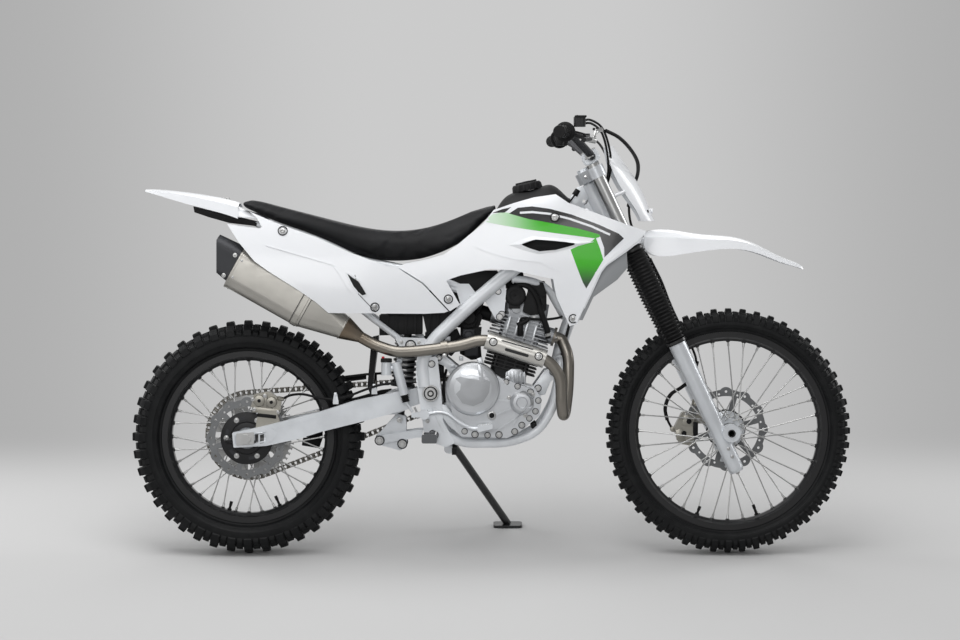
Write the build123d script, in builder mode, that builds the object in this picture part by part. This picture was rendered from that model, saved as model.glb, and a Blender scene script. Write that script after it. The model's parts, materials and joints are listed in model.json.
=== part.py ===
"""A kick-up trail motorcycle with laced wheels, parked on its side stand.

The bike is drawn upright: X forward from the rear axle, Y to its left and Z up from the floor.
The last section leans every piece over as it stands parked and writes one STEP file for each.
"""

from build123d import *
from math import asin, atan2, cos, degrees, hypot, pi, radians, sin, sqrt, tan
import os

# ---------------------------------------------------------------- driving dimensions, mm, degrees
wheelbase = 1357.0
drawn_wheelbase = 1357.0      # the outlines below are drawn for this one and move with the other
rake = 25.3
axle_offset = 58.0            # front axle ahead of the steering axis, square to it
leg_lead = 28.0               # fork legs ahead of the steering axis, square to it
leg_half_span = 100.0
lean = 9.0                    # the parked lean, to the left

origin_shift = -8.5           # middle of the parked bike's footprint, from mid-wheelbase
origin_side = -184.4

front_radius = 347.0
front_width = 84.0
front_rim_radius = 281.0
front_rim_width = 47.0
rear_radius = 330.0
rear_width = 106.0
rear_rim_radius = 243.0
rear_rim_width = 60.0
rim_depth = 27.0
crown_share = 0.62            # crown radius of a tyre over its width
spoke_count = 36
spoke_diameter = 3.6
axle_diameter = 20.0
axle_bore = 15.0
running_gap = 0.4             # between a turning bore and its pin
seat_gap = 0.3                # between two curved pieces that seat on each other

disc_thickness = 3.5
front_disc_radius = 120.0
front_disc_y = 60.0
rear_disc_radius = 115.0
rear_disc_y = -64.0
caliper_gap = 3.0

chain_pitch = 15.875
chain_line = 66.0
rear_teeth = 48
front_teeth = 13
sprocket_thickness = 6.0
chain_plate = 2.4
chain_height = 14.0
chain_side_gap = 1.6

fork_tube_diameter = 37.0
slider_diameter = 48.0
slider_bottom = -106.0        # heights along the leg, from the front axle
slider_top = 290.0
boot_top = 588.0
lower_clamp_height = 592.0
lower_clamp_depth = 40.0
upper_clamp_height = 804.0
upper_clamp_depth = 32.0
fork_tube_top = 846.0
head_tube_diameter = 52.0
stem_diameter = 30.0

bar_diameter = 22.2
bar_half_width = 400.0
grip_length = 124.0
grip_diameter = 33.0

spar_diameter = 38.0
cradle_diameter = 25.0
cradle_half_span = 80.0
subframe_diameter = 22.0
arm_inner = 84.0              # swingarm, inner faces from the middle
arm_thickness = 26.0
pivot_diameter = 24.0
panel_wall = 3.5
muffler_width = 84.0
muffler_height = 124.0
muffler_y = -108.0
muffler_wall = 2.0
header_diameter = 32.0
stand_length = 350.0
stand_diameter = 22.0

# ---------------------------------------------------------------- frames of reference
station_still = 600.0         # behind this station nothing moves with the wheelbase
station_full = 900.0          # ahead of this one everything moves with it


def station(x):
    """Gives the place of a drawn station at the wheelbase in use."""
    share = (x - station_still) / (station_full - station_still)
    return x + (wheelbase - drawn_wheelbase) * min(max(share, 0.0), 1.0)


def outline(points):
    """Moves the drawn points of a side view to the wheelbase in use."""
    return [(station(x), z) for x, z in points]


def route(points):
    """Moves the drawn points of a pipe's route to the wheelbase in use."""
    return [Vector(station(x), y, z) for x, y, z in points]


def mirrored(points):
    """Gives a route on the other side of the bike."""
    return [(x, -y, z) for x, y, z in points]


def side_plane(y):
    """Plane of a side view at this Y: sketch x is forward, sketch y is up, and it faces right."""
    return Plane.XZ.offset(-y)


up = Vector(-sin(radians(rake)), 0, cos(radians(rake)))
ahead = Vector(cos(radians(rake)), 0, sin(radians(rake)))
left = Vector(0, 1, 0)
rear_centre = Vector(0, 0, rear_radius)
front_centre = Vector(wheelbase, 0, front_radius)
steer_origin = front_centre - ahead * axle_offset
steer = Plane(origin=steer_origin, x_dir=ahead, z_dir=up)


def steer_point(forward, y, height):
    """A point given along the steering axis's own frame, its heights from the front axle."""
    return steer_origin + ahead * forward + left * y + up * height


def leg_plane(y):
    """Plane through a fork leg's centre-line: sketch x is its radius, sketch y its height."""
    return Plane(origin=steer_point(leg_lead, y, 0), x_dir=ahead, z_dir=(0, -1, 0))


def wheel_plane(centre):
    """Plane through a wheel's axle: sketch x is to the left, sketch y is the radius."""
    return Plane(origin=centre, x_dir=(0, 1, 0), z_dir=(1, 0, 0))


# ---------------------------------------------------------------- shared operations
def plate(points, low, high, mode=Mode.ADD, soft=0.0):
    """Adds a plate with this side view between two Y values, its corners rounded by soft."""
    with BuildSketch(side_plane(high)) as face:
        with BuildLine():
            Polyline(*points, close=True)
        make_face()
        if soft:
            fillet(face.vertices(), soft)
    extrude(face.sketch, amount=high - low, mode=mode)


def disc(centre, radius, low, high, mode=Mode.ADD):
    """Adds a round boss across the bike between two Y values."""
    with BuildSketch(side_plane(high)) as face:
        with Locations(centre):
            Circle(radius)
    extrude(face.sketch, amount=high - low, mode=mode)


def rod(start, end, radius, mode=Mode.ADD):
    """Adds a straight round rod between two points."""
    start, end = Vector(start), Vector(end)
    with BuildSketch(Plane(origin=start, z_dir=end - start)) as face:
        Circle(radius)
    extrude(face.sketch, amount=(end - start).length, mode=mode)


def bend_radii(points, share=0.45, most=1e6):
    """Largest arc at each corner of a route that leaves its two runs room, or the most allowed."""
    radii = []
    for before, corner, after in zip(points, points[1:], points[2:]):
        turn = radians((corner - before).get_angle(after - corner))
        run = min((corner - before).length, (after - corner).length)
        radii.append(min(share * run / tan(turn / 2), most))
    return radii


def pipe(points, diameter, bore=0.0, most=1e6):
    """Adds a round tube along a route of straight runs joined by arcs."""
    points = [Vector(point) for point in points]
    with BuildLine() as path:
        FilletPolyline(*points, radius=bend_radii(points, most=most))
    with BuildSketch(Plane(origin=points[0], z_dir=points[1] - points[0])) as section:
        Circle(diameter / 2)
        if bore:
            Circle(bore / 2, mode=Mode.SUBTRACT)
    sweep(section.sketch, path=path.line)


def ring(centre, profile, mode=Mode.ADD):
    """Adds a profile of (y, radius) points turned about a wheel's axle."""
    with BuildSketch(wheel_plane(centre)) as face:
        with BuildLine():
            Polyline(*profile, close=True)
        make_face()
    revolve(face.sketch, axis=Axis(centre, (0, 1, 0)), mode=mode)


def crowned(x, half_width, base, shoulder, top, foot=None):
    """Cross-section of a crowned form at a station, as a sketch to loft through."""
    foot = half_width if foot is None else foot
    with BuildSketch(Plane.YZ.offset(x)) as section:
        with BuildLine():
            Polyline((-half_width, shoulder), (-foot, base), (foot, base), (half_width, shoulder))
            Spline((half_width, shoulder), (0, top), (-half_width, shoulder),
                   tangents=((-0.35, 1), (-0.35, -1)))
        make_face()
    return section.sketch


def hooded(x, half_width, edge, top):
    """Cross-section with upright sides and a low crown between two ridges."""
    ridge = edge + 0.70 * (top - edge)
    with BuildSketch(Plane.YZ.offset(x)) as section:
        with BuildLine():
            Polyline((-half_width * 0.93, ridge), (-half_width, edge), (half_width, edge),
                     (half_width * 0.93, ridge))
            ThreePointArc((half_width * 0.93, ridge), (0, top), (-half_width * 0.93, ridge))
        make_face()
    return section.sketch


def arched(stations, wall):
    """Adds a thin arched guard, open below, from (x, half width, edge, top) stations."""
    outer = [hooded(*station) for station in stations]
    first, last = stations[0], stations[-1]
    inner = []
    for x, w, edge, top in stations:
        stretch = {first[0]: -1.0, last[0]: 1.0}.get(x, 0.0)
        inner.append(hooded(x + stretch, w - wall, edge - 4, top - wall))
    loft(outer)
    loft(inner, mode=Mode.SUBTRACT)


def skin(levels, wall, side):
    """Adds a double-curved skin: each level gives a height and its (x, distance out) curve."""
    sections = []
    for height, curve in levels:
        outer = [(station(x), side * y) for x, y in curve]
        inner = [(station(x), side * (y - wall)) for x, y in curve]
        with BuildSketch(Plane.XY.offset(height)) as section:
            with BuildLine():
                Spline(*outer)
                Line(outer[-1], inner[-1])
                Spline(*reversed(inner))
                Line(inner[0], outer[0])
            make_face()
        sections.append(section.sketch)
    loft(sections)


def trim_to(points, low=-300.0, high=300.0, soft=0.0):
    """Keeps only what lies inside this side view."""
    plate(points, low, high, mode=Mode.INTERSECT, soft=soft)


# ---------------------------------------------------------------- wheels
def make_tyre(centre, radius, width, rim_radius, rim_width):
    """Tyre out to its tread's tips, hollow over the rim; its blocks are cut by the finish."""
    bead = rim_width / 2 - 3.0 - seat_gap
    half = width / 2
    crown = crown_share * width
    edge = radius - crown + sqrt(crown ** 2 - (half - 3) ** 2)
    with BuildPart() as tyre:
        with BuildSketch(wheel_plane(centre)):
            with BuildLine():
                Polyline((-half + 3, edge), (-half, edge - 9), (-half + 5, rim_radius + 18),
                         (-bead - 5, rim_radius + 1.5), (-bead, rim_radius + 1.5),
                         (-bead, rim_radius - 11))
                Polyline((-bead, rim_radius - 11), (-bead + 7, rim_radius - 10),
                         (-bead + 5, rim_radius + 4), (-half + 14, rim_radius + 22),
                         (-half + 14, edge - 12))
                ThreePointArc((-half + 14, edge - 12), (0, radius - 23), (half - 14, edge - 12))
                Polyline((half - 14, edge - 12), (half - 14, rim_radius + 22),
                         (bead - 5, rim_radius + 4), (bead - 7, rim_radius - 10),
                         (bead, rim_radius - 11))
                Polyline((bead, rim_radius - 11), (bead, rim_radius + 1.5),
                         (bead + 5, rim_radius + 1.5), (half - 5, rim_radius + 18),
                         (half, edge - 9), (half - 3, edge))
                ThreePointArc((half - 3, edge), (0, radius), (-half + 3, edge))
            make_face()
        revolve(axis=Axis(centre, (0, 1, 0)))
    return tyre


def make_rim(centre, rim_radius, rim_width):
    """Rolled rim with a drop centre, two flanges and stiffened edges."""
    half = rim_width / 2
    bed = rim_radius - 14.0
    inner = rim_radius - rim_depth
    with BuildPart() as rim:
        ring(centre, [(-half, rim_radius), (-half + 3, rim_radius), (-half + 3, bed),
                      (-half + 13, bed - 3), (-half + 17, inner + 4), (half - 17, inner + 4),
                      (half - 13, bed - 3), (half - 3, bed), (half - 3, rim_radius),
                      (half, rim_radius), (half, bed - 2), (half - 10, bed - 7),
                      (half - 15, inner), (-half + 15, inner), (-half + 10, bed - 7),
                      (-half, bed - 2)])
    return rim


def make_hub(centre, flange_y, flange_radius, barrel_radius, left_end, right_end, seats):
    """Hub turned about its axle: two spoke flanges, a barrel and a seat for what bolts to it."""
    bore = axle_diameter / 2 + running_gap
    (left_seat, left_seat_radius), (right_seat, right_seat_radius) = seats
    with BuildPart() as hub:
        ring(centre, [(-right_end, bore), (-right_end, 17), (-right_seat, 17),
                      (-right_seat, right_seat_radius), (-right_seat + 9, right_seat_radius),
                      (-flange_y - 6, barrel_radius + 3), (-flange_y - 2.5, barrel_radius + 4),
                      (-flange_y - 2.5, flange_radius), (-flange_y + 2.5, flange_radius),
                      (-flange_y + 2.5, barrel_radius + 4), (-flange_y + 12, barrel_radius),
                      (flange_y - 12, barrel_radius), (flange_y - 2.5, barrel_radius + 4),
                      (flange_y - 2.5, flange_radius), (flange_y + 2.5, flange_radius),
                      (flange_y + 2.5, barrel_radius + 4), (flange_y + 6, barrel_radius + 3),
                      (left_seat - 9, left_seat_radius), (left_seat, left_seat_radius),
                      (left_seat, 17), (left_end, 17), (left_end, bore)])
    return hub


def make_spokes(centre, flange_y, hole_radius, rim_inner, crossings):
    """Laced spokes with their nipples: each flange has leading and trailing ones, in and out."""
    per_flange = spoke_count // 2
    hole_step = 2 * pi / per_flange
    rim_step = 2 * pi / spoke_count
    swing = crossings * hole_step
    radius = spoke_diameter / 2
    spokes = BuildPart()
    with spokes:
        for number in range(spoke_count):
            side = 1 if number % 2 else -1
            outside = (number // 2) % 2
            lead = 1 if outside else -1
            rim_angle = number * rim_step
            hole_angle = rim_angle + lead * swing
            offset = 2.5 + radius + (2.6 if outside else 0.6)
            hole_y = side * (flange_y + (offset if outside else -offset))
            start = centre + Vector(hole_radius * cos(hole_angle), hole_y,
                                    hole_radius * sin(hole_angle))
            reach = rim_inner - 0.8
            end = centre + Vector(reach * cos(rim_angle), side * 3.5, reach * sin(rim_angle))
            nipple = end + (start - end).normalized() * 14.0
            rod(start, nipple, radius)
            rod(nipple, end, radius + 1.4)
    return spokes


def make_disc(centre, y, radius, carrier_radius, bolt_radius, lobes):
    """Petal brake disc: a wavy drilled ring on arms that bolt to the hub."""
    ring_inner = radius - 26.0
    lobe_step = 360.0 / lobes
    outer_face = y + disc_thickness / 2
    with BuildPart() as brake_disc:
        with BuildSketch(side_plane(outer_face)):
            with Locations((centre.X, centre.Z)):
                Circle(radius - 7.0)
                with PolarLocations(radius - 20.0, lobes):
                    Circle(20.0)
                Circle(ring_inner, mode=Mode.SUBTRACT)
                with PolarLocations(radius - 13.0, lobes):
                    Circle(3.6, mode=Mode.SUBTRACT)
                with PolarLocations(radius - 19.0, lobes, start_angle=lobe_step * 0.38):
                    Circle(3.0, mode=Mode.SUBTRACT)
                with PolarLocations((ring_inner + carrier_radius) / 2, 6, start_angle=15):
                    Rectangle(ring_inner - carrier_radius + 8.0, 15.0)
                Circle(carrier_radius)
                Circle(carrier_radius - 16.0, mode=Mode.SUBTRACT)
                with PolarLocations(bolt_radius, 6, start_angle=15):
                    Circle(3.2, mode=Mode.SUBTRACT)
        extrude(amount=disc_thickness)
    return brake_disc


front_rim_inner = front_rim_radius - rim_depth
rear_rim_inner = rear_rim_radius - rim_depth
front_disc_inner_face = front_disc_y - disc_thickness / 2
rear_disc_inner_face = -rear_disc_y - disc_thickness / 2
sprocket_inner_face = chain_line - sprocket_thickness / 2

front_tyre = make_tyre(front_centre, front_radius, front_width, front_rim_radius, front_rim_width)
rear_tyre = make_tyre(rear_centre, rear_radius, rear_width, rear_rim_radius, rear_rim_width)
front_rim = make_rim(front_centre, front_rim_radius, front_rim_width)
rear_rim = make_rim(rear_centre, rear_rim_radius, rear_rim_width)
front_spokes = make_spokes(front_centre, 30.0, 31.0, front_rim_inner, 2.5)
rear_spokes = make_spokes(rear_centre, 31.0, 44.0, rear_rim_inner, 2.5)
front_hub = make_hub(front_centre, 30.0, 37.0, 19.0, leg_half_span - slider_diameter / 2 - 4.0,
                     leg_half_span - slider_diameter / 2 - 4.0,
                     ((front_disc_inner_face, 52.0), (42.0, 26.0)))
rear_hub = make_hub(rear_centre, 31.0, 50.0, 27.0, arm_inner - 2.0, arm_inner - 2.0,
                    ((sprocket_inner_face, 66.0), (rear_disc_inner_face, 62.0)))
front_disc = make_disc(front_centre, front_disc_y, front_disc_radius, 56.0, 48.0, 12)
rear_disc = make_disc(rear_centre, rear_disc_y, rear_disc_radius, 66.0, 57.5, 12)


def pitch_radius(teeth):
    """Radius of the chain's pins on a sprocket."""
    return chain_pitch / (2 * sin(pi / teeth))


def toothed(centre, teeth, y, thickness, bore):
    """Adds a chain sprocket across the bike: a hollow between teeth for each roller."""
    radius = pitch_radius(teeth)
    with BuildSketch(side_plane(y + thickness / 2)) as face:
        with Locations(centre):
            Circle(radius + 4.2)
            with PolarLocations(radius, teeth):
                Circle(5.2, mode=Mode.SUBTRACT)
            with PolarLocations(radius + 4.4, teeth):
                Rectangle(5.0, 7.4, mode=Mode.SUBTRACT)
            Circle(bore, mode=Mode.SUBTRACT)
    extrude(face.sketch, amount=thickness)


sprocket_centre = (station(572.0), 459.0)
rear_pitch_radius = pitch_radius(rear_teeth)
front_pitch_radius = pitch_radius(front_teeth)

with BuildPart() as rear_sprocket:
    toothed((0, rear_radius), rear_teeth, chain_line, sprocket_thickness, 50.0)
    with BuildSketch(side_plane(chain_line + sprocket_thickness / 2)):
        with Locations((0, rear_radius)):
            with PolarLocations(58.0, 6):
                Circle(4.0)
            with PolarLocations(88.0, 8):
                SlotOverall(34.0, 16.0)
    extrude(amount=sprocket_thickness, mode=Mode.SUBTRACT)

with BuildPart() as front_sprocket:
    toothed(sprocket_centre, front_teeth, chain_line, sprocket_thickness, 9.0)

# The chain's loop: two tangent runs and the wraps round both sprockets, as plates each side.
run_x, run_z = sprocket_centre[0], sprocket_centre[1] - rear_radius
run_length = hypot(run_x, run_z)
run_angle = degrees(atan2(run_z, run_x))
wrap_angle = degrees(asin((rear_pitch_radius - front_pitch_radius) / run_length))


def on_circle(centre, radius, angle):
    """A point on a circle in the side view."""
    return (centre[0] + radius * cos(radians(angle)), centre[1] + radius * sin(radians(angle)))


def chain_loop(offset):
    """Gives the closed loop at this distance outside the chain's pins."""
    rear, front = (0.0, rear_radius), sprocket_centre
    big, small = rear_pitch_radius + offset, front_pitch_radius + offset
    top, bottom = run_angle + 90 - wrap_angle, run_angle - 90 + wrap_angle
    with BuildLine() as loop:
        Line(on_circle(rear, big, top), on_circle(front, small, top))
        ThreePointArc(on_circle(front, small, top), on_circle(front, small, run_angle),
                      on_circle(front, small, bottom))
        Line(on_circle(front, small, bottom), on_circle(rear, big, bottom))
        ThreePointArc(on_circle(rear, big, bottom), on_circle(rear, big, run_angle + 180),
                      on_circle(rear, big, top))
    return loop.line


chain_edge = chain_height / 2
with BuildPart() as drive_chain:
    for inner_face in (chain_side_gap + sprocket_thickness / 2,
                       -chain_side_gap - sprocket_thickness / 2 - chain_plate):
        with BuildSketch(side_plane(chain_line + inner_face + chain_plate)):
            make_face(chain_loop(chain_edge))
            make_face(chain_loop(-chain_edge), mode=Mode.SUBTRACT)
        extrude(amount=chain_plate)
    pin_reach = chain_side_gap + sprocket_thickness / 2
    top_angle = run_angle + 90 - wrap_angle
    bottom_angle = run_angle - 90 + wrap_angle
    for angle in (top_angle, bottom_angle):
        start = Vector(*on_circle((0, rear_radius), rear_pitch_radius, angle))
        end = Vector(*on_circle(sprocket_centre, front_pitch_radius, angle))
        links = int((end - start).length / chain_pitch)
        for link in range(3, links - 1, 2):
            pin = start + (end - start) * (link / links)
            disc((pin.X, pin.Y), 3.6, chain_line - pin_reach, chain_line + pin_reach)

# ---------------------------------------------------------------- steering and front end
leg_sides = (-leg_half_span, leg_half_span)
tube_radius = fork_tube_diameter / 2
slider_radius = slider_diameter / 2

with BuildPart() as fork_sliders:
    for leg in leg_sides:
        with BuildSketch(leg_plane(leg)):
            with BuildLine():
                Polyline((0, slider_bottom), (18, slider_bottom), (22, slider_bottom + 8),
                         (22, 40), (slider_radius, 70), (slider_radius + 1, slider_top),
                         (tube_radius + 0.6, slider_top), (tube_radius + 0.6, slider_top - 60),
                         (0, slider_top - 60), close=True)
            make_face()
        revolve(axis=Axis(steer_point(leg_lead, leg, 0), up))
        inner = leg - 22 if leg > 0 else leg - 27
        disc((front_centre.X, front_centre.Z), 25.0, inner, inner + 49)
    disc((front_centre.X, front_centre.Z), axle_diameter / 2 + 0.2, -200, 200, Mode.SUBTRACT)

with BuildPart() as front_axle:
    with BuildSketch(side_plane(leg_half_span + 32)):
        with Locations((front_centre.X, front_centre.Z)):
            Circle(axle_diameter / 2)
            Circle(axle_bore / 2, mode=Mode.SUBTRACT)
    extrude(amount=2 * leg_half_span + 62)
    with BuildSketch(side_plane(leg_half_span + 38)):
        with Locations((front_centre.X, front_centre.Z)):
            RegularPolygon(15.0, 6)
            Circle(axle_bore / 2, mode=Mode.SUBTRACT)
    extrude(amount=10)

with BuildPart() as fork_tubes:
    for leg in leg_sides:
        with BuildSketch(Plane(steer_point(leg_lead, leg, slider_top - 58), ahead, up)):
            Circle(tube_radius)
        extrude(amount=fork_tube_top - slider_top + 58)

with BuildPart() as fork_boots:
    for leg in leg_sides:
        with BuildSketch(leg_plane(leg)):
            with BuildLine():
                Polyline((tube_radius + 1, slider_top + 1), (28, slider_top + 1), (30, slider_top + 30),
                         (33, boot_top - 60), (33, boot_top - 14), (30, boot_top),
                         (tube_radius + 1, boot_top), close=True)
            make_face()
        revolve(axis=Axis(steer_point(leg_lead, leg, 0), up))


def clamp_layer(height, depth, leg_boss, stem_boss):
    """Adds a fork clamp: two split bosses and the bridge that joins them to the stem."""
    with BuildSketch(Plane(steer_point(0, 0, height), ahead, up)) as face:
        with Locations((leg_lead, leg_half_span), (leg_lead, -leg_half_span)):
            Circle(leg_boss)
        with Locations((0, 0)):
            Circle(stem_boss)
        with BuildLine():
            Polyline((-stem_boss + 6, 0), (leg_lead - 16, leg_half_span), (leg_lead + 18, leg_half_span),
                     (leg_lead + 4, 0), (leg_lead + 18, -leg_half_span),
                     (leg_lead - 16, -leg_half_span), close=True)
        make_face()
        with Locations((leg_lead, leg_half_span), (leg_lead, -leg_half_span)):
            Circle(tube_radius + 0.1, mode=Mode.SUBTRACT)
            with Locations((-leg_boss, 0)):
                Rectangle(leg_boss, 3.0, mode=Mode.SUBTRACT)
    extrude(face.sketch, amount=depth)


bar_forward = 36.0
bar_height = upper_clamp_height + upper_clamp_depth + 30.0
bar_seat = steer_point(bar_forward, 0, bar_height)
with BuildPart() as triple_clamps:
    clamp_layer(lower_clamp_height, lower_clamp_depth, 26.0, 28.0)
    clamp_layer(upper_clamp_height, upper_clamp_depth, 25.0, 26.0)
    rod(steer_point(0, 0, lower_clamp_height), steer_point(0, 0, upper_clamp_height + 38),
        stem_diameter / 2)
    with BuildSketch(Plane(steer_point(0, 0, upper_clamp_height + upper_clamp_depth), ahead, up)):
        RegularPolygon(17.0, 6)
    extrude(amount=9)
    for riser in (-40.0, 40.0):
        rod(steer_point(bar_forward, riser, upper_clamp_height + 4),
            steer_point(bar_forward, riser, bar_height), 13.0)
        with BuildSketch(Plane(steer_point(bar_forward, riser + 13, bar_height), ahead, (0, 1, 0))):
            RectangleRounded(46.0, 34.0, 8.0)
        extrude(amount=-26)
    rod(bar_seat - left * 80, bar_seat + left * 80, bar_diameter / 2 + 0.1, Mode.SUBTRACT)

bar_end = Vector(station(868.0), bar_half_width, 1178.0)
bar_bend = Vector(station(902.0), bar_half_width * 0.49, 1184.0)
bar_rise = Vector(bar_seat.X, bar_half_width * 0.24, bar_seat.Z)


def flipped(point):
    """The same point on the right of the bike."""
    return Vector(point.X, -point.Y, point.Z)


with BuildPart() as handlebar:
    pipe([flipped(bar_end), flipped(bar_bend), flipped(bar_rise), bar_rise, bar_bend, bar_end],
         bar_diameter, bar_diameter - 5.0, most=70.0)

bar_run = (bar_end - bar_bend).normalized()
grip_start = bar_end - bar_run * grip_length
with BuildPart() as grips:
    for mirror_point in (Vector, flipped):
        grip_in, grip_out = mirror_point(grip_start), mirror_point(bar_end + bar_run * 5)
        rod(grip_in, grip_out, grip_diameter / 2)
        rod(grip_in, grip_in + (grip_out - grip_in).normalized() * 5, 27.0)
        rod(grip_in, mirror_point(bar_end + bar_run * 0.3), bar_diameter / 2 + 0.2, Mode.SUBTRACT)

perch = bar_end - bar_run * (grip_length + 34.0)
bar_ahead = bar_run.cross(Vector(0, 0, 1)).normalized() * -1
if bar_ahead.X < 0:
    bar_ahead = bar_ahead * -1
with BuildPart() as hand_controls:
    for mirror_point in (Vector, flipped):
        inner_end, outer_end = mirror_point(perch - bar_run * 15), mirror_point(perch + bar_run * 15)
        rod(inner_end, outer_end, 18.0)
        knuckle = mirror_point(perch + bar_ahead * 52 - Vector(0, 0, 14))
        rod(mirror_point(perch), knuckle, 9.0)
        rod(knuckle - Vector(0, 0, 9), knuckle + Vector(0, 0, 9), 11.0)
        tip = mirror_point(bar_end + bar_ahead * 66 - Vector(0, 0, 22) - bar_run * 14)
        mid = mirror_point(bar_end + bar_ahead * 76 - Vector(0, 0, 20) - bar_run * 60)
        rod(knuckle, mid, 5.5)
        rod(mid, tip, 5.5)
        rod(tip, tip + (tip - mid).normalized() * 6, 7.0)
    throttle = flipped(bar_end - bar_run * (grip_length + 9.0))
    throttle_end = throttle + flipped(bar_run) * -16
    rod(flipped(grip_start) + flipped(bar_run) * -1, throttle_end, 24.0)
    reservoir = flipped(perch + bar_ahead * 34 + Vector(0, 0, 14))
    with BuildSketch(Plane(reservoir, (1, 0, 0), (0, 0, 1))):
        RectangleRounded(32.0, 44.0, 7.0)
    extrude(amount=26)
    switch_start = bar_end - bar_run * (grip_length + 2.0)
    rod(switch_start, switch_start - bar_run * 16, 20.0)
    for mirror_point in (Vector, flipped):
        rod(mirror_point(bar_end), mirror_point(bar_bend), bar_diameter / 2 + 0.2, Mode.SUBTRACT)

plate_levels = ((940.0, 1106.0, 1149.0, 62.0), (1000.0, 1071.0, 1124.0, 88.0),
                (1055.0, 1036.0, 1096.0, 100.0), (1105.0, 1017.0, 1062.0, 100.0),
                (1150.0, 1008.0, 1034.0, 84.0))
with BuildPart() as number_plate:
    sections = []
    for height, back, front, half in plate_levels:
        back, front = station(back), station(front)
        with BuildSketch(Plane.XY.offset(height)) as section:
            with BuildLine():
                ThreePointArc((back, -half), (front, 0), (back, half))
                Line((back, half), (back - 1, half - panel_wall))
                ThreePointArc((back - 1, half - panel_wall), (front - panel_wall, 0),
                              (back - 1, -half + panel_wall))
                Line((back - 1, -half + panel_wall), (back, -half))
            make_face()
        sections.append(section.sketch)
    loft(sections)
    rod((station(1120), 0, 968), (station(1143), 0, 968), 7.0)
    for ear in (-1, 1):
        ear_y = ear * (leg_half_span - 8.0)
        ear_start = leg_lead + tube_radius + seat_gap
        rod(steer_point(ear_start, ear_y, 738), steer_point(ear_start + 32, ear_y, 738), 5.0)

with BuildPart() as front_fender:
    arched([(station(x), w, edge, top) for x, w, edge, top in (
        (1116, 60, 866, 909), (1150, 70, 842, 916), (1230, 75, 848, 910), (1320, 75, 860, 900),
        (1400, 71, 858, 888), (1470, 62, 836, 857), (1530, 48, 815, 830), (1567, 26, 803, 810))],
        panel_wall)
    mount_low = steer_point(leg_lead - 12, 0, lower_clamp_height - 22)
    mount_high = steer_point(leg_lead - 12, 0, lower_clamp_height - seat_gap)
    rod(mount_low, mount_high, 22.0)
    rod(mount_low + up * 6, Vector(station(1150), 0, 905), 10.0)

caliper_radius = front_disc_radius - 24.0
with BuildPart() as front_caliper:
    low_face = front_disc_y - disc_thickness / 2 - 17.0
    high_face = front_disc_y + disc_thickness / 2 + 20.0
    slider_face = leg_half_span - slider_radius - seat_gap
    plate(outline([(1208, 352), (1222, 306), (1262, 300), (1282, 322), (1268, 388), (1232, 398)]),
          low_face, high_face, soft=9.0)
    disc((front_centre.X, front_centre.Z), caliper_radius, low_face - 1, high_face + 1, Mode.SUBTRACT)
    disc((front_centre.X, front_centre.Z), front_disc_radius + caliper_gap,
         front_disc_y - disc_thickness / 2 - caliper_gap,
         front_disc_y + disc_thickness / 2 + caliper_gap, Mode.SUBTRACT)
    plate(outline([(1236, 385), (1262, 362), (1316, 362), (1308, 392), (1288, 432), (1262, 432),
                   (1256, 398)]), slider_face - 9, slider_face, soft=2.0)
    disc((station(1226), 340), 15.0, high_face - 1, high_face + 6)
    disc((station(1244), 370), 15.0, high_face - 1, high_face + 6)

hose_diameter = 7.0
with BuildPart() as front_brake_hose:
    pipe(route([(966, -204, 1192), (1002, -192, 1188), (1040, -158, 1170), (1074, -104, 1140),
                (1098, -36, 1106), (1102, 34, 1072), (1090, 84, 1032), (1080, 106, 982),
                (1086, 104, 930), (1110, 92, 880), (1142, 85, 828), (1172, 84, 768),
                (1196, 83, 706), (1226, 82, 642), (1258, 78, 588), (1276, 71, 540),
                (1262, 64, 494), (1230, 62, 466), (1198, 64, 444), (1184, 68, 408),
                (1190, 71, 372), (1205, 72, 346)]), hose_diameter)

# ---------------------------------------------------------------- frame
head_low = steer_point(0, 0, lower_clamp_height + lower_clamp_depth + 4)
head_high = steer_point(0, 0, upper_clamp_height - 4)
pivot = (517.0, 458.0)
tie_end = (510.0, 341.0)
hanger_y = 82.0
hanger_bolt = (710.0, 671.0)
tank_bearer = (735.0, 798.0)
tank_bearer_radius = 12.0
spar_route = [(962, 16, 962), (862, 62, 884), (735, 86, 796), (625, 93, 702), (524, 93, 606),
              (492, 93, 548), (500, 93, 476)]
down_route = [(1000, 0, 934), (940, 0, 746), (884, 0, 596), (866, 0, 500)]
cradle_route = [(884, 14, 560), (878, 60, 488), (862, cradle_half_span, 420),
                (818, cradle_half_span, 347), (736, cradle_half_span, 317),
                (610, cradle_half_span + 4, 316), (556, cradle_half_span + 11, 340),
                (524, cradle_half_span + 12, 420)]
upper_route = [(744, 74, 778), (800, 70, 772), (846, 52, 752), (892, 6, 668)]
web_inner = 79.0
web_outer = 103.0
rail_y = 72.0
floor_lift = crown_share * rear_width * (1 - cos(radians(lean)))
floor_normal = Vector(0, -sin(radians(lean)), cos(radians(lean)))
stand_pivot = Vector(station(566), 118, 306)
stand_foot_y = 290.0
pad_depth = 8.0
foot_height = stand_foot_y * tan(radians(lean)) + (pad_depth - floor_lift) / cos(radians(lean))
foot_rise = stand_pivot.Z - foot_height
foot_forward = sqrt(stand_length ** 2 - foot_rise ** 2 - (stand_foot_y - stand_pivot.Y) ** 2)
stand_down = Vector(foot_forward, stand_foot_y - stand_pivot.Y, -foot_rise).normalized()
stand_folded = Vector(-0.975, 0.09, -0.20).normalized()
stand_axis = stand_down.cross(stand_folded).normalized()
stand_foot = stand_pivot + stand_down * stand_length
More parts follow.
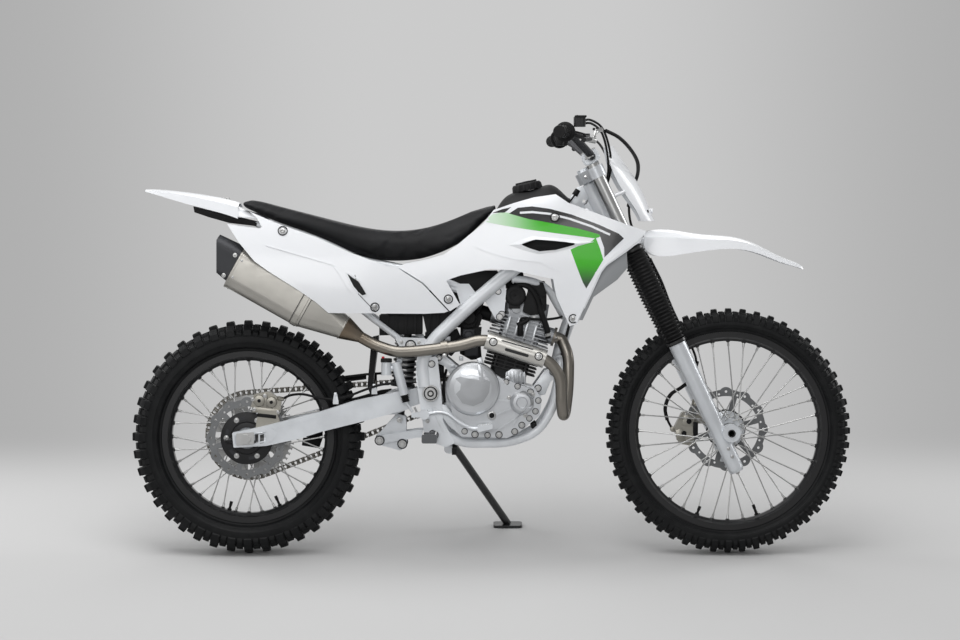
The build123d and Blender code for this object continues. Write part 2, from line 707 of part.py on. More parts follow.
with BuildPart() as main_frame:
    rod(head_low, head_high, head_tube_diameter / 2)
    plate(outline([(905, 905), (996, 926), (990, 950), (964, 1010), (925, 1000)]), -12, 12, soft=6)
    for turned in (list, mirrored):
        pipe(route(turned(spar_route)), spar_diameter)
        pipe(route(turned(cradle_route)), cradle_diameter)
        pipe(route(turned(upper_route)), 20.0)
    pipe(route(down_route), 36.0)
    for side in (-1, 1):
        low, high = sorted((side * web_inner, side * web_outer))
        plate(outline([(478, 560), (536, 560), (546, 470), (552, 380), (586, 318), (556, 308),
                       (502, 328), (498, 352), (488, 420), (476, 500)]), low, high, soft=6.0)
        low, high = sorted((side * 90.0, side * 95.0))
        plate(outline([(415, 615), (500, 612), (540, 580), (500, 552), (440, 572)]), low, high, soft=5)
        low, high = sorted((side * (rail_y + subframe_diameter / 2 + seat_gap), side * 90.0))
        plate(outline([(606, 690), (650, 730), (624, 764), (590, 764), (590, 742)]), low, high, soft=5)
        low, high = sorted((side * (hanger_y - 2.5), side * (hanger_y + 2.5)))
        plate(outline([(664, 724), (700, 752), (726, 768), (728, 742), (722, 668), (710, 657),
                       (698, 666)]), low, high, soft=5.0)
        disc((station(hanger_bolt[0]), hanger_bolt[1]), 4.2, -hanger_y - 3, hanger_y + 3,
             Mode.SUBTRACT)
    rod((station(560), -96, 317), (station(560), 96, 317), 11.0)
    rod(stand_pivot - stand_axis * 36, stand_pivot, 15.0)
    rod((station(tank_bearer[0]), -72, tank_bearer[1]), (station(tank_bearer[0]), 72, tank_bearer[1]),
        tank_bearer_radius)
    rod((station(500), -90, 570), (station(500), 90, 570), 12.0)
    disc((station(tie_end[0]), tie_end[1]), 8.0, -web_inner - 4, web_inner + 4)
    disc((station(452), 640), 5.5, -24, 24)
    for side in (-1, 1):
        low, high = sorted((side * 13.0, side * 21.0))
        plate(outline([(438, 629), (442, 654), (470, 654), (514, 590), (512, 564), (492, 564),
                       (490, 608), (466, 622)]), low, high, soft=4)
    disc((station(pivot[0]), pivot[1]), 20.0, web_inner, web_outer + 4)
    disc((station(pivot[0]), pivot[1]), 20.0, -web_outer - 4, -web_inner)
    disc((station(pivot[0]), pivot[1]), pivot_diameter / 2 + running_gap, -200, 200, Mode.SUBTRACT)
    rod(steer_point(0, 0, lower_clamp_height), steer_point(0, 0, upper_clamp_height),
        stem_diameter / 2 + 1.0, Mode.SUBTRACT)

with BuildPart() as subframe:
    rail_route = [(604, rail_y, 750), (520, rail_y - 2, 786), (440, 68, 805.6), (300, 66, 833.6),
                  (160, 62, 892), (30, 56, 930)]
    brace_route = [(452, 81, 592), (400, 81, 632), (330, 82, 683), (250, 74, 765), (180, 64, 872)]
    for turned in (list, mirrored):
        pipe(route(turned(rail_route)), subframe_diameter)
        pipe(route(turned(brace_route)), 17.0)
    for cross_x, cross_z, half in ((440, 805, 66), (160, 892, 60), (30, 930, 54)):
        rod((station(cross_x), -half, cross_z), (station(cross_x), half, cross_z), 8.0)

# ---------------------------------------------------------------- swingarm, linkage, shock
arm_outer = arm_inner + arm_thickness
arm_front = 456.0
arm_lug = 56.0
with BuildPart() as swingarm:
    for side in (-1, 1):
        low, high = sorted((side * arm_inner, side * arm_outer))
        plate(outline([(-34, 306), (-38, 348), (31, 362), (100, 379), (201, 405), (302, 437),
                       (arm_front, 470), (arm_front, 414), (403, 400), (314, 376), (213, 351),
                       (149, 331), (56, 311)]), low, high, soft=4.0)
    plate(outline([(372, 396), (368, 440), (400, 458), (arm_front, 462), (arm_front, 414),
                   (420, 398)]), -arm_inner, arm_inner, soft=6.0)
    for side in (-1, 1):
        low, high = sorted((side * 42.0, side * arm_lug))
        plate(outline([(440, 410), (440, 462), (517, 480), (539, 458), (517, 436)]), low, high, soft=6)
    disc((station(pivot[0]), pivot[1]), 22.0, -arm_lug, arm_lug)
    plate(outline([(388, 380), (388, 480), (486, 500), (486, 380)]), -41, 41, Mode.SUBTRACT)
    disc((station(pivot[0]), pivot[1]), pivot_diameter / 2 + running_gap, -200, 200, Mode.SUBTRACT)
    disc((0, rear_radius), axle_diameter / 2 + 0.2, -200, 200, Mode.SUBTRACT)
    for side in (-1, 1):
        low, high = sorted((side * (arm_outer - 5), side * (arm_outer + 1)))
        plate([(-30, 316), (-30, 340), (-16, 340), (-16, 316)], low, high, Mode.SUBTRACT)
        plate([(26, 320), (26, 346), (54, 350), (60, 328)], low, high, Mode.SUBTRACT, soft=4)

with BuildPart() as pivot_bolt:
    disc((station(pivot[0]), pivot[1]), pivot_diameter / 2, -web_outer - 6, web_outer + 6)
    disc((station(pivot[0]), pivot[1]), 16.0, web_outer + 4 + seat_gap, web_outer + 12)
    disc((station(pivot[0]), pivot[1]), 16.0, -web_outer - 12, -web_outer - 4 - seat_gap)

with BuildPart() as rear_axle:
    disc((0, rear_radius), axle_diameter / 2, -arm_outer - 16, arm_outer + 16)
    for side in (-1, 1):
        low, high = sorted((side * (arm_outer + seat_gap), side * (arm_outer + 5)))
        plate([(-26, 312), (-26, 346), (24, 350), (24, 316)], low, high, soft=3)
    with BuildSketch(side_plane(arm_outer + 15)):
        with Locations((0, rear_radius)):
            RegularPolygon(15.0, 6)
    extrude(amount=10.5)
    with BuildSketch(side_plane(-arm_outer - 4)):
        with Locations((0, rear_radius)):
            RegularPolygon(15.0, 6)
    extrude(amount=10.5)

shock_foot = Vector(station(428), 0, 380)
shock_top = Vector(station(452), 0, 640)
shock_run = (shock_top - shock_foot).normalized()
shock_length = (shock_top - shock_foot).length
with BuildPart() as shock_absorber:
    shock_side = Vector(shock_run.Z, 0, -shock_run.X)
    with BuildSketch(Plane(origin=shock_foot, x_dir=shock_side, z_dir=(0, -1, 0))):
        with BuildLine():
            Polyline((0, 4), (12, 4), (12, 92), (34, 92), (34, 100), (28, 104),
                     (28, shock_length - 46), (34, shock_length - 42), (34, shock_length - 34),
                     (12, shock_length - 30), (12, shock_length - 10), (0, shock_length - 10),
                     close=True)
        make_face()
    revolve(axis=Axis(shock_foot, shock_run))
    for eye in (shock_foot, shock_top):
        rod(eye - left * 12, eye + left * 12, 14.0)
    for eye in (shock_foot, shock_top):
        rod(eye - left * 20, eye + left * 20, 6.0, Mode.SUBTRACT)

with BuildPart() as shock_linkage:
    for side in (-1, 1):
        low, high = sorted((side * 20.0, side * 32.0))
        plate(outline([(360, 318), (368, 338), (420, 396), (446, 390), (448, 306), (430, 292),
                       (380, 306)]), low, high, soft=8.0)
        low, high = sorted((side * 34.0, side * 44.0))
        plate(outline([(362, 310), (362, 334), (480, 352), (524, 352), (524, 330), (480, 330)]),
              low, high, soft=5.0)
    for pin_x, pin_z, radius in ((372, 322, 9), (436, 312, 9), (428, 380, 5.5)):
        disc((station(pin_x), pin_z), radius, -46, 46)
    disc((station(tie_end[0]), tie_end[1]), 8.0 + seat_gap, -50, 50, Mode.SUBTRACT)

# ---------------------------------------------------------------- engine
cylinder_lean = 16.0
bore_axis = Vector(sin(radians(cylinder_lean)), 0, cos(radians(cylinder_lean)))
cylinder_base = Vector(station(730), 0, 496)
cylinder_plane = Plane(origin=cylinder_base, x_dir=(bore_axis.Z, 0, -bore_axis.X), z_dir=bore_axis)
engine_core = 66.0
sprocket_side = chain_line - 13.0
case_outline = [(556, 420), (590, 340), (612, 333), (748, 333), (790, 366), (818, 400), (822, 448),
                (800, 486), (812, 520), (724, 528), (656, 540), (600, 520), (560, 490)]
cover_outline = [(568, 452), (580, 386), (600, 337), (732, 333), (768, 352), (822, 396), (828, 444),
                 (812, 466), (756, 486), (716, 500), (690, 516), (634, 540), (586, 520)]
clutch_centre = (635.0, 472.0)
clutch_profile = ((0.0, 36.0), (30.0, 35.6), (52.0, 33.5), (66.0, 29.5), (72.5, 25.0), (75.0, 18.0))
filter_centre = (772.0, 433.0)
filter_profile = ((0.0, 18.5), (14.0, 18.5), (16.0, 22.0), (24.0, 21.5), (27.5, 18.5), (33.0, 13.0))


def domed(centre, profile, base):
    """Adds a dome on the right, its profile (radius, rise) above a Y value."""
    origin = Vector(centre[0], base, centre[1])
    with BuildSketch(Plane(origin, (1, 0, 0), (0, 0, 1))) as face:
        with BuildLine():
            Polyline((0, 0), (0, -profile[0][1]), *[(radius, -rise) for radius, rise in profile[1:]],
                     (profile[-1][0], 0), close=True)
        make_face()
    revolve(face.sketch, axis=Axis(origin, (0, 1, 0)))


with BuildPart() as crankcase:
    plate(outline(case_outline), -engine_core, sprocket_side, soft=10.0)
    plate(outline([(620, 340), (748, 333), (790, 366), (818, 400), (822, 448), (800, 486),
                   (760, 500), (640, 500)]), sprocket_side, engine_core, soft=10.0)
    disc(sprocket_centre, 9.0 - seat_gap, sprocket_side, chain_line + 8)
    with BuildSketch(cylinder_plane.offset(-seat_gap)):
        Rectangle(190.0, 190.0)
    extrude(amount=90, mode=Mode.SUBTRACT)

with BuildPart() as clutch_cover:
    plate(outline(cover_outline), -108, -engine_core - 0.2, soft=12.0)
    for centre, profile in ((clutch_centre, clutch_profile), (filter_centre, filter_profile)):
        domed((station(centre[0]), centre[1]), profile, -100.0)

with BuildPart() as generator_cover:
    plate(outline([(650, 352), (740, 345), (800, 392), (812, 444), (770, 492), (690, 500),
                   (648, 450)]), engine_core + 0.2, 92, soft=16.0)
    disc((station(728), 424), 62.0, engine_core + 0.2, 112)
    disc((station(728), 424), 22.0, 112, 118)

with BuildPart() as cylinder:
    with BuildSketch(cylinder_plane):
        RectangleRounded(104.0, 104.0, 18.0)
    extrude(amount=106)
    for fin in range(8):
        with BuildSketch(cylinder_plane.offset(26 + fin * 10.0)):
            RectangleRounded(148.0, 146.0, 20.0)
        extrude(amount=3.0)

port_y = -36.0
port_height = 150.0
port_reach = 92.0
inlet_height = 160.0
inlet_reach = 90.0


def head_point(forward, y, height):
    """A point in the leaning cylinder's own frame."""
    return cylinder_base + cylinder_plane.x_dir * forward + left * y + bore_axis * height


with BuildPart() as cylinder_head:
    with BuildSketch(cylinder_plane.offset(106.3)):
        RectangleRounded(112.0, 108.0, 14.0)
    extrude(amount=80)
    for fin in range(7):
        with BuildSketch(cylinder_plane.offset(112 + fin * 10.0)):
            RectangleRounded(176.0 - fin * 6.0, 150.0 - fin * 4.0, 18.0)
        extrude(amount=3.0)
    with BuildSketch(cylinder_plane.offset(184)):
        RectangleRounded(128.0, 112.0, 20.0)
    extrude(amount=48, taper=7)
    for side in (-1, 1):
        low, high = sorted((side * 50.0, side * (hanger_y - 2.5 - seat_gap)))
        disc((station(hanger_bolt[0]), hanger_bolt[1]), 9.0, low, high)
        low, high = sorted((side * 50.0, side * (hanger_y + 8.0)))
        disc((station(hanger_bolt[0]), hanger_bolt[1]), 4.0, low, high)
    rod(head_point(40, port_y, port_height), head_point(port_reach, port_y, port_height), 23.0)
    rod(head_point(-40, 0, inlet_height), head_point(-inlet_reach, 0, inlet_height), 22.0)

with BuildPart() as intake:
    rod(head_point(-inlet_reach - seat_gap, 0, inlet_height),
        head_point(-inlet_reach - 42, 0, inlet_height), 20.0)
    plate(outline([(590, 640), (590, 690), (650, 694), (662, 668), (650, 636)]), -32, 32, soft=4)
    disc((station(620), 665), 26.0, -46, 46)

with BuildPart() as airbox:
    plate(outline([(392, 678), (392, 704), (520, 746), (575, 740), (589.7, 690), (589.7, 640),
                   (545, 618), (506, 622), (494, 676)]), -60, 60, soft=5.0)

# ---------------------------------------------------------------- exhaust
muffler_front = Vector(station(276), muffler_y, 641)
muffler_rise = radians(29.3)
muffler_run = Vector(-cos(muffler_rise), 0, sin(muffler_rise))
muffler_plane = Plane(origin=muffler_front, x_dir=(0, 1, 0), z_dir=muffler_run)
header_radius = header_diameter / 2
shield_y = 140.0
shield_gap = 8.0
shield_start = Vector(station(846), -shield_y, 552)
shield_end = Vector(station(664), -shield_y, 612)
with BuildPart() as exhaust_header:
    port = head_point(port_reach + seat_gap, port_y, port_height)
    port_run = cylinder_plane.x_dir
    pipe([port, port + port_run * 26] + route([
        (904, -70, 560), (902, -84, 470), (893, -96, 402), (887, -122, 396), (882, -138, 430),
        (880, -shield_y, 506)]) + [shield_start, shield_end] + route([
        (600, -139, 592), (530, -135, 583), (470, -130, 576), (420, -122, 574)]) +
         [muffler_front - muffler_run * 96, muffler_front - muffler_run * 52], header_diameter)
    with BuildSketch(muffler_plane.offset(-53)) as start:
        Circle(header_radius)
    with BuildSketch(muffler_plane) as end:
        Circle(34.0)
    loft([start.sketch, end.sketch])
    rod(port, port + port_run * 7, 27.0)
    rod((station(566), -137.5, 588), (station(548), -136.5, 585.5), 20.0)

with BuildPart() as heat_shield:
    shield_run = (shield_end - shield_start) * 0.90
    shield_from = shield_start + shield_run * 0.06
    with BuildSketch(Plane(origin=shield_from, x_dir=(0, 1, 0), z_dir=shield_run)):
        Circle(header_radius + shield_gap + 2.0)
        Circle(header_radius + shield_gap, mode=Mode.SUBTRACT)
        with Locations((26, 0)):
            Rectangle(52, 80, mode=Mode.SUBTRACT)
    extrude(amount=shield_run.length)
    for share in (0.15, 0.85):
        point = shield_from + shield_run * share
        rod(point - left * (header_radius + 0.3), point - left * (header_radius + shield_gap + 1), 6.0)

muffler_corner = 34.0
can_start = 120.0
can_length = 230.0
cap_length = 78.0
with BuildPart() as muffler:
    with BuildSketch(muffler_plane.offset(seat_gap)):
        Circle(34.0)
    with BuildSketch(muffler_plane.offset(26)):
        RectangleRounded(muffler_width - 8, muffler_height - 12, muffler_corner)
    with BuildSketch(muffler_plane.offset(can_start)):
        RectangleRounded(muffler_width, muffler_height, muffler_corner)
    loft()
    with BuildSketch(muffler_plane.offset(can_start)):
        RectangleRounded(muffler_width, muffler_height, muffler_corner)
    extrude(amount=can_length)
    with BuildSketch(muffler_plane.offset(can_start + 4)):
        RectangleRounded(muffler_width + 4, muffler_height + 4, muffler_corner + 2)
    extrude(amount=16)

with BuildPart() as muffler_cap:
    with BuildSketch(muffler_plane.offset(can_start + can_length + 0.3)):
        RectangleRounded(muffler_width + 3, muffler_height + 3, muffler_corner + 1.5)
    extrude(amount=cap_length, taper=4)
    plate(outline([(-77, 700), (-77, 960), (-260, 960), (-260, 700)]), -200, 0, Mode.SUBTRACT)
    plate(outline([(-30, 756), (-77, 796), (-160, 796), (-160, 700), (-30, 700)]), -200, 0,
          Mode.SUBTRACT)
    with BuildSketch(muffler_plane.offset(can_start + can_length + 20)):
        with Locations((0, -6)):
            Circle(17.0)
    extrude(amount=cap_length, mode=Mode.SUBTRACT)
    with BuildSketch(muffler_plane.offset(can_start + can_length + 20)):
        with Locations((0, -6)):
            Circle(16.0)
            Circle(13.0, mode=Mode.SUBTRACT)
    extrude(amount=24)

# ---------------------------------------------------------------- seat, tank and panels
with BuildPart() as seat:
    loft([crowned(station(x), half, base, shoulder, top) for x, half, base, shoulder, top in (
        (-16, 98, 984, 986, 993), (60, 110, 953, 966, 979), (150, 112, 920, 938, 957),
        (250, 106, 879, 906, 934), (350, 96, 837, 880, 914), (440, 86, 824, 874, 909),
        (540, 76, 848, 888, 927), (620, 66, 901, 928, 958), (700, 56, 974, 984, 1000))])

cap_plane = Plane(origin=(station(790), 0, 1026), x_dir=(1, 0, 0.22), z_dir=(-0.22, 0, 1))
with BuildPart() as fuel_tank:
    loft([crowned(station(x), *section) for x, *section in (
        (616, 68, 842, 858, 880, 60), (656, 80, 836, 878, 911, 70), (690, 88, 846, 910, 950, 76),
        (712, 92, 856, 930, 990, 76), (760, 98, 872, 950, 1022, 70), (830, 100, 906, 960, 1038, 60),
        (880, 92, 938, 968, 1028, 50), (908, 80, 954, 972, 1004, 44))])
    rod((station(tank_bearer[0]), 0, tank_bearer[1] + tank_bearer_radius + seat_gap),
        (station(tank_bearer[0]), 0, 870), 14.0)
    with BuildSketch(cap_plane):
        Circle(42.0)
    extrude(amount=40, mode=Mode.SUBTRACT)

with BuildPart() as fuel_cap:
    with BuildSketch(cap_plane.offset(seat_gap)):
        Circle(40.0)
    extrude(amount=21)
    fillet(fuel_cap.faces().sort_by(Axis.Z)[-1].edges(), 5.0)

shroud_levels = (
    (640.0, ((410, 122), (540, 118), (700, 124), (860, 138), (1000, 151), (1140, 154))),
    (800.0, ((410, 134), (540, 130), (700, 135), (860, 149), (1000, 157), (1140, 152))),
    (900.0, ((410, 122), (540, 122), (700, 130), (860, 146), (1000, 155), (1140, 150))),
    (1024.0, ((410, 96), (540, 96), (700, 102), (860, 116), (1000, 147), (1140, 148))))
shroud_outline = [(693, 970), (748, 989), (804, 1005), (866, 1014), (899, 991), (1001, 952),
                  (1067, 928), (1117, 911), (1100, 884), (1063, 855), (1006, 815), (992, 796),
                  (966, 739), (926, 654), (904, 647), (866, 732), (858, 778), (748, 802),
                  (686, 806), (601, 788), (561, 774), (599, 706), (571, 688), (498, 767),
                  (426, 812), (446, 821), (500, 831), (554, 846), (597, 877), (625, 901),
                  (663, 931)]
vent_outline = [(766, 873), (810, 889), (930, 877), (866, 858), (818, 853)]
with BuildPart() as shroud_right:
    skin(shroud_levels, panel_wall, -1)
    trim_to(outline(shroud_outline))
    plate(outline(vent_outline), -300, 300, Mode.SUBTRACT, soft=3.0)
    rod((station(850), -99.3, 962), (station(850), -129.5, 962), 8.0)
    rod((station(735), -95.4, 936), (station(735), -121.5, 936), 8.0)
with BuildPart() as shroud_left:
    mirror(shroud_right.part, about=Plane.XZ)

cover_levels = (
    (670.0, ((-70, 150), (100, 154), (300, 150), (450, 132), (600, 118))),
    (790.0, ((-70, 162), (100, 165), (300, 154), (450, 136), (600, 122))),
    (880.0, ((-70, 150), (100, 150), (300, 140), (450, 126), (600, 118))),
    (980.0, ((-70, 116), (100, 118), (300, 112), (450, 100), (600, 96))))
cover_side = [(-48, 931), (-16, 882), (29, 828), (65, 802), (154, 746), (201, 713), (234, 684),
              (500, 681), (556, 684), (567, 688), (495, 764), (421, 812), (395, 814), (357, 829),
              (300, 850), (200, 895), (102, 929), (55, 948), (13, 966), (34, 948), (49, 923),
              (42, 919)]
with BuildPart() as side_cover_right:
    skin(cover_levels, panel_wall, -1)
    trim_to(outline(cover_side))
    for post_x, post_y, post_z in ((300, 66, 834), (200, 63.4, 875)):
        rod((station(post_x), -post_y - subframe_diameter / 2 - seat_gap, post_z),
            (station(post_x), -144, post_z), 6.0)
with BuildPart() as side_cover_left:
    mirror(side_cover_right.part, about=Plane.XZ)

with BuildPart() as rear_fender:
    arched([(station(x), w, edge, top) for x, w, edge, top in (
        (-286, 40, 1022, 1030), (-240, 58, 1009, 1028), (-150, 74, 983, 1018),
        (-70, 86, 962, 1004), (-22, 92, 946, 992))], panel_wall)
    loft([crowned(station(x), half, base, base + 3, top) for x, half, base, top in (
        (-36, 84, 952, 991), (-19, 82, 950, 977), (20, 78, 946, 959), (58, 74, 932.5, 945))])
    plate(outline([(-147, 980), (-143, 968), (-48, 940), (-24, 955), (-30, 975), (-60, 990)]),
          -60, 60, soft=4)

# ---------------------------------------------------------------- controls and guards
with BuildPart() as footpegs:
    for side in (-1, 1):
        low, high = sorted((side * (web_outer + 0.3), side * (web_outer + 18)))
        disc((station(528), 342), 12.0, low, high)
        low, high = sorted((side * (web_outer + 16), side * 222.0))
        plate(outline([(494, 326), (494, 350), (536, 350), (536, 326)]), low, high, soft=5)
        low, high = sorted((side * (web_outer + 26), side * 214.0))
        plate(outline([(500, 320), (500, 356), (530, 356), (530, 320)]), low, high, Mode.SUBTRACT)
        for bar in range(3):
            low, high = sorted((side * (150.0 + bar * 26), side * (156.0 + bar * 26)))
            plate(outline([(496, 328), (496, 350), (534, 350), (534, 328)]), low, high)

pedal_y = -web_outer - 30.0
with BuildPart() as brake_pedal:
    disc((station(500), 400), 14.0, -web_outer - 28, -web_outer - seat_gap)
    plate(outline([(464, 392), (464, 404), (500, 410), (500, 392)]), -web_outer - 28, -web_outer - 20)
    pipe(route([(500, -124, 400), (556, -128, 410), (600, pedal_y, 376), (634, pedal_y, 360),
                (664, pedal_y - 4, 362)]), 11.0)
    plate(outline([(648, 352), (648, 372), (690, 376), (690, 362)]), pedal_y - 26, pedal_y + 8, soft=4)

with BuildPart() as shift_lever:
    disc((station(612), 378), 12.0, engine_core + 0.3, 132)
    pipe(route([(612, 126, 378), (650, 134, 372), (700, 142, 366), (744, 142, 380)]), 10.0)
    disc((station(744), 380), 9.0, 134, 172)

master_y = -arm_outer - 16.0
with BuildPart() as rear_master_cylinder:
    rod((station(420), master_y, 545), (station(444), master_y, 455), 13.0)
    rod((station(444), master_y, 456), (station(449), master_y, 434), 9.0)
    rod((station(449), master_y, 436), (station(467), master_y, 406.6), 4.0)
    rod((station(394), master_y, 510), (station(394), master_y, 548), 14.0)
    rod((station(394), master_y, 530), (station(424), master_y, 530), 6.0)
    rod((station(430), master_y + 8, 548), (station(430), -95.0 - seat_gap, 560), 8.0)

with BuildPart() as rear_caliper:
    low_face = rear_disc_y - disc_thickness / 2 - 13.0
    high_face = rear_disc_y + disc_thickness / 2 + 15.0
    plate([(8, 400), (20, 454), (64, 462), (98, 436), (92, 392)], low_face, high_face, soft=10)
    disc((0, rear_radius), rear_disc_radius - 26, -200, 200, Mode.SUBTRACT)
    disc((0, rear_radius), rear_disc_radius + caliper_gap, rear_disc_y - disc_thickness / 2 - caliper_gap,
         rear_disc_y + disc_thickness / 2 + caliper_gap, Mode.SUBTRACT)
    plate([(26, 358), (96, 374), (84, 408), (34, 408)], -arm_inner - 8, low_face + 1)
    plate([(20, 340), (110, 360), (110, 382.2), (100, 379.3), (31, 362.3), (20, 360)], -arm_inner - 8,
          -arm_inner + 0.1, Mode.SUBTRACT)

with BuildPart() as rear_brake_hose:
    pipe(route([(96, -72, 438), (122, -78, 452), (158, -90, 456), (200, -101, 446), (246, -108, 440),
                (292, -116, 452), (336, -123, 470), (378, master_y, 484), (420, master_y, 488)]),
         hose_diameter)

with BuildPart() as chain_guard:
    plate(outline([(150, 478), (150, 484), (330, 506), (420, 512), (420, 506), (330, 500)]),
          chain_line - 12, chain_line + 14)
    plate(outline([(150, 466), (150, 484), (330, 506), (330, 488)]), chain_line + 12, chain_line + 15)
    plate(outline([(226, 413.6), (246, 419.9), (246, 494), (226, 492)]), chain_line + 12, arm_inner + 8)
    plate(outline([(340, 445.7), (360, 450), (360, 508), (340, 506)]), chain_line + 12, arm_inner + 8)

with BuildPart() as mud_flap:
    plate(outline([(338, 474), (354, 430), (367.7, 420), (367.7, 440), (352, 474), (368, 600),
                   (368, 616), (350, 612)]), -50, 50, soft=1.5)

# ---------------------------------------------------------------- side stand
with BuildPart() as side_stand:
    head_start = stand_pivot + stand_axis * seat_gap
    rod(head_start, head_start + stand_axis * 14, 19.0)
    rod(stand_pivot + stand_axis * 13 + stand_down * 12, stand_foot, stand_diameter / 2)
    with BuildSketch(Plane(stand_foot - floor_normal * pad_depth, (1, 0, 0), floor_normal)):
        RectangleRounded(84.0, 52.0, 12.0)
    extrude(amount=pad_depth)

# ---------------------------------------------------------------- parked and written out
parked = Location((-wheelbase / 2 + origin_shift, origin_side, floor_lift)) * Location(
    (0, 0, 0), (-lean, 0, 0))
assembly = dict(
    front_tyre=front_tyre, front_rim=front_rim, front_spokes=front_spokes, front_hub=front_hub,
    front_disc=front_disc, rear_tyre=rear_tyre, rear_rim=rear_rim, rear_spokes=rear_spokes,
    rear_hub=rear_hub, rear_disc=rear_disc, rear_sprocket=rear_sprocket,
    front_sprocket=front_sprocket, drive_chain=drive_chain, fork_sliders=fork_sliders,
    front_axle=front_axle, fork_tubes=fork_tubes, fork_boots=fork_boots,
    triple_clamps=triple_clamps, handlebar=handlebar, grips=grips, hand_controls=hand_controls,
    number_plate=number_plate, front_fender=front_fender, front_caliper=front_caliper,
    front_brake_hose=front_brake_hose, main_frame=main_frame, subframe=subframe,
    swingarm=swingarm, pivot_bolt=pivot_bolt, rear_axle=rear_axle,
    shock_absorber=shock_absorber, shock_linkage=shock_linkage, crankcase=crankcase,
    clutch_cover=clutch_cover, generator_cover=generator_cover, cylinder=cylinder,
    cylinder_head=cylinder_head, intake=intake, airbox=airbox, exhaust_header=exhaust_header,
    heat_shield=heat_shield, muffler=muffler, muffler_cap=muffler_cap, seat=seat,
    fuel_tank=fuel_tank, fuel_cap=fuel_cap, shroud_right=shroud_right, shroud_left=shroud_left,
    side_cover_right=side_cover_right, side_cover_left=side_cover_left, rear_fender=rear_fender,
    footpegs=footpegs, brake_pedal=brake_pedal, shift_lever=shift_lever,
    rear_master_cylinder=rear_master_cylinder, rear_caliper=rear_caliper,
    rear_brake_hose=rear_brake_hose, chain_guard=chain_guard, mud_flap=mud_flap,
    side_stand=side_stand)

os.makedirs("parts", exist_ok=True)
for label, piece in assembly.items():
    piece.part = piece.part.moved(parked)
    piece.part.label = label
    export_step(piece.part, f"parts/{label}.step")
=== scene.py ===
"""Finish of a trail motorcycle: treads, bellows, chain, fasteners, hoses, padded seat and paint.

Pieces are drawn on the upright bike, in millimetres: X forward from the rear axle, Y to its left
and Z up from the floor. Stance then leans them over, as the bike stands parked.
"""
from __future__ import annotations

import json
import logging
from dataclasses import dataclass, field
from enum import Enum
from functools import cache
from math import asin, atan2, ceil, cos, hypot, pi, radians, sin, sqrt
from typing import Sequence

import bmesh
import bpy
from mathutils import Matrix, Vector
from mathutils.bvhtree import BVHTree


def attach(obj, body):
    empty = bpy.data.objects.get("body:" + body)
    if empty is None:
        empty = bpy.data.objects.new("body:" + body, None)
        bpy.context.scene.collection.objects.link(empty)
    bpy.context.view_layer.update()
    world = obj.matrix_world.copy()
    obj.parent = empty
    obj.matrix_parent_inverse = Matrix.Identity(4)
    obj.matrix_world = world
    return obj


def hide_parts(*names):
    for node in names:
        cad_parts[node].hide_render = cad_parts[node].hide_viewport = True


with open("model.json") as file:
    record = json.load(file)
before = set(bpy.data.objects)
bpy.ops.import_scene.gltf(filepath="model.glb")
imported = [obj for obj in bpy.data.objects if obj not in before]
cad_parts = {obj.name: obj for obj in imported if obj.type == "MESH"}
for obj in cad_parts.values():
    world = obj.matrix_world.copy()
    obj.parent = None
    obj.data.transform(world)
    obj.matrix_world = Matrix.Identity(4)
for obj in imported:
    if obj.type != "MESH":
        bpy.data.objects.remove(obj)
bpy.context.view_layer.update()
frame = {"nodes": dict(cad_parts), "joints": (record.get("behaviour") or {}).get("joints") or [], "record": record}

log = logging.getLogger("finish")
MM = 0.001
Point = Sequence[float]
Outline = Sequence[tuple[float, float]]
Triple = tuple[float, float, float]
Material = bpy.types.Material
Piece = bpy.types.Object
SIDES = {-1: "right", 1: "left"}


class Body(Enum):
    """The moving bodies of the bike."""

    CHASSIS = "chassis"
    STEERING = "steering"
    FRONT_WHEEL = "front_wheel"
    REAR_WHEEL = "rear_wheel"
    STAND = "side_stand"


@dataclass(frozen=True)
class Stance:
    """How the upright bike stands parked in the shared frame."""

    matrix: Matrix

    @classmethod
    def read(cls, joints: list[dict], rear_radius: float) -> Stance:
        """Finds the stance from the rear wheel's joint.

        Args:
            joints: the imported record's joints.
            rear_radius: height of the rear axle on the upright bike, in millimetres.

        Returns:
            The stance, with the matrix from upright millimetres to shared metres.
        """
        wheel = next(joint for joint in joints if joint["name"] == "rear_wheel_spin")
        axis = Vector(wheel["axis"])
        lean = atan2(-axis.z, axis.y)
        return cls(Matrix.Translation(wheel["pos_m"]) @ Matrix.Rotation(-lean, 4, "X") @
            Matrix.Translation((0, 0, -rear_radius * MM)) @ Matrix.Scale(MM, 4))

    def place(self, x: float, y: float, z: float) -> Vector:
        """Gives a point of the upright bike in the shared frame."""
        return self.matrix @ Vector((x, y, z))

    def turn(self, x: float, y: float, z: float) -> Vector:
        """Gives a direction of the upright bike in the shared frame."""
        return (self.matrix.to_3x3() @ Vector((x, y, z))).normalized()


REAR_RADIUS = 330.0
FRONT_RADIUS = 347.0
WHEELBASE = 1357.0
stance = Stance.read(frame["joints"], REAR_RADIUS)


# Shared tools
def linked(name: str, data: bpy.types.ID) -> Piece:
    """Gives a new object with this data, linked to the scene."""
    made = bpy.data.objects.new(name, data)
    bpy.context.scene.collection.objects.link(made)
    return made


def evaluated(piece: Piece) -> bpy.types.Mesh:
    """Gives the mesh that a piece's modifiers make."""
    bpy.context.view_layer.update()
    seen = piece.evaluated_get(bpy.context.evaluated_depsgraph_get())
    return bpy.data.meshes.new_from_object(seen)


def axes(along: Point) -> tuple[Vector, Vector, Vector]:
    """Gives a direction at unit length, and two more that are square to it."""
    along = Vector(along).normalized()
    side = along.orthogonal().normalized()
    return along, side, along.cross(side)


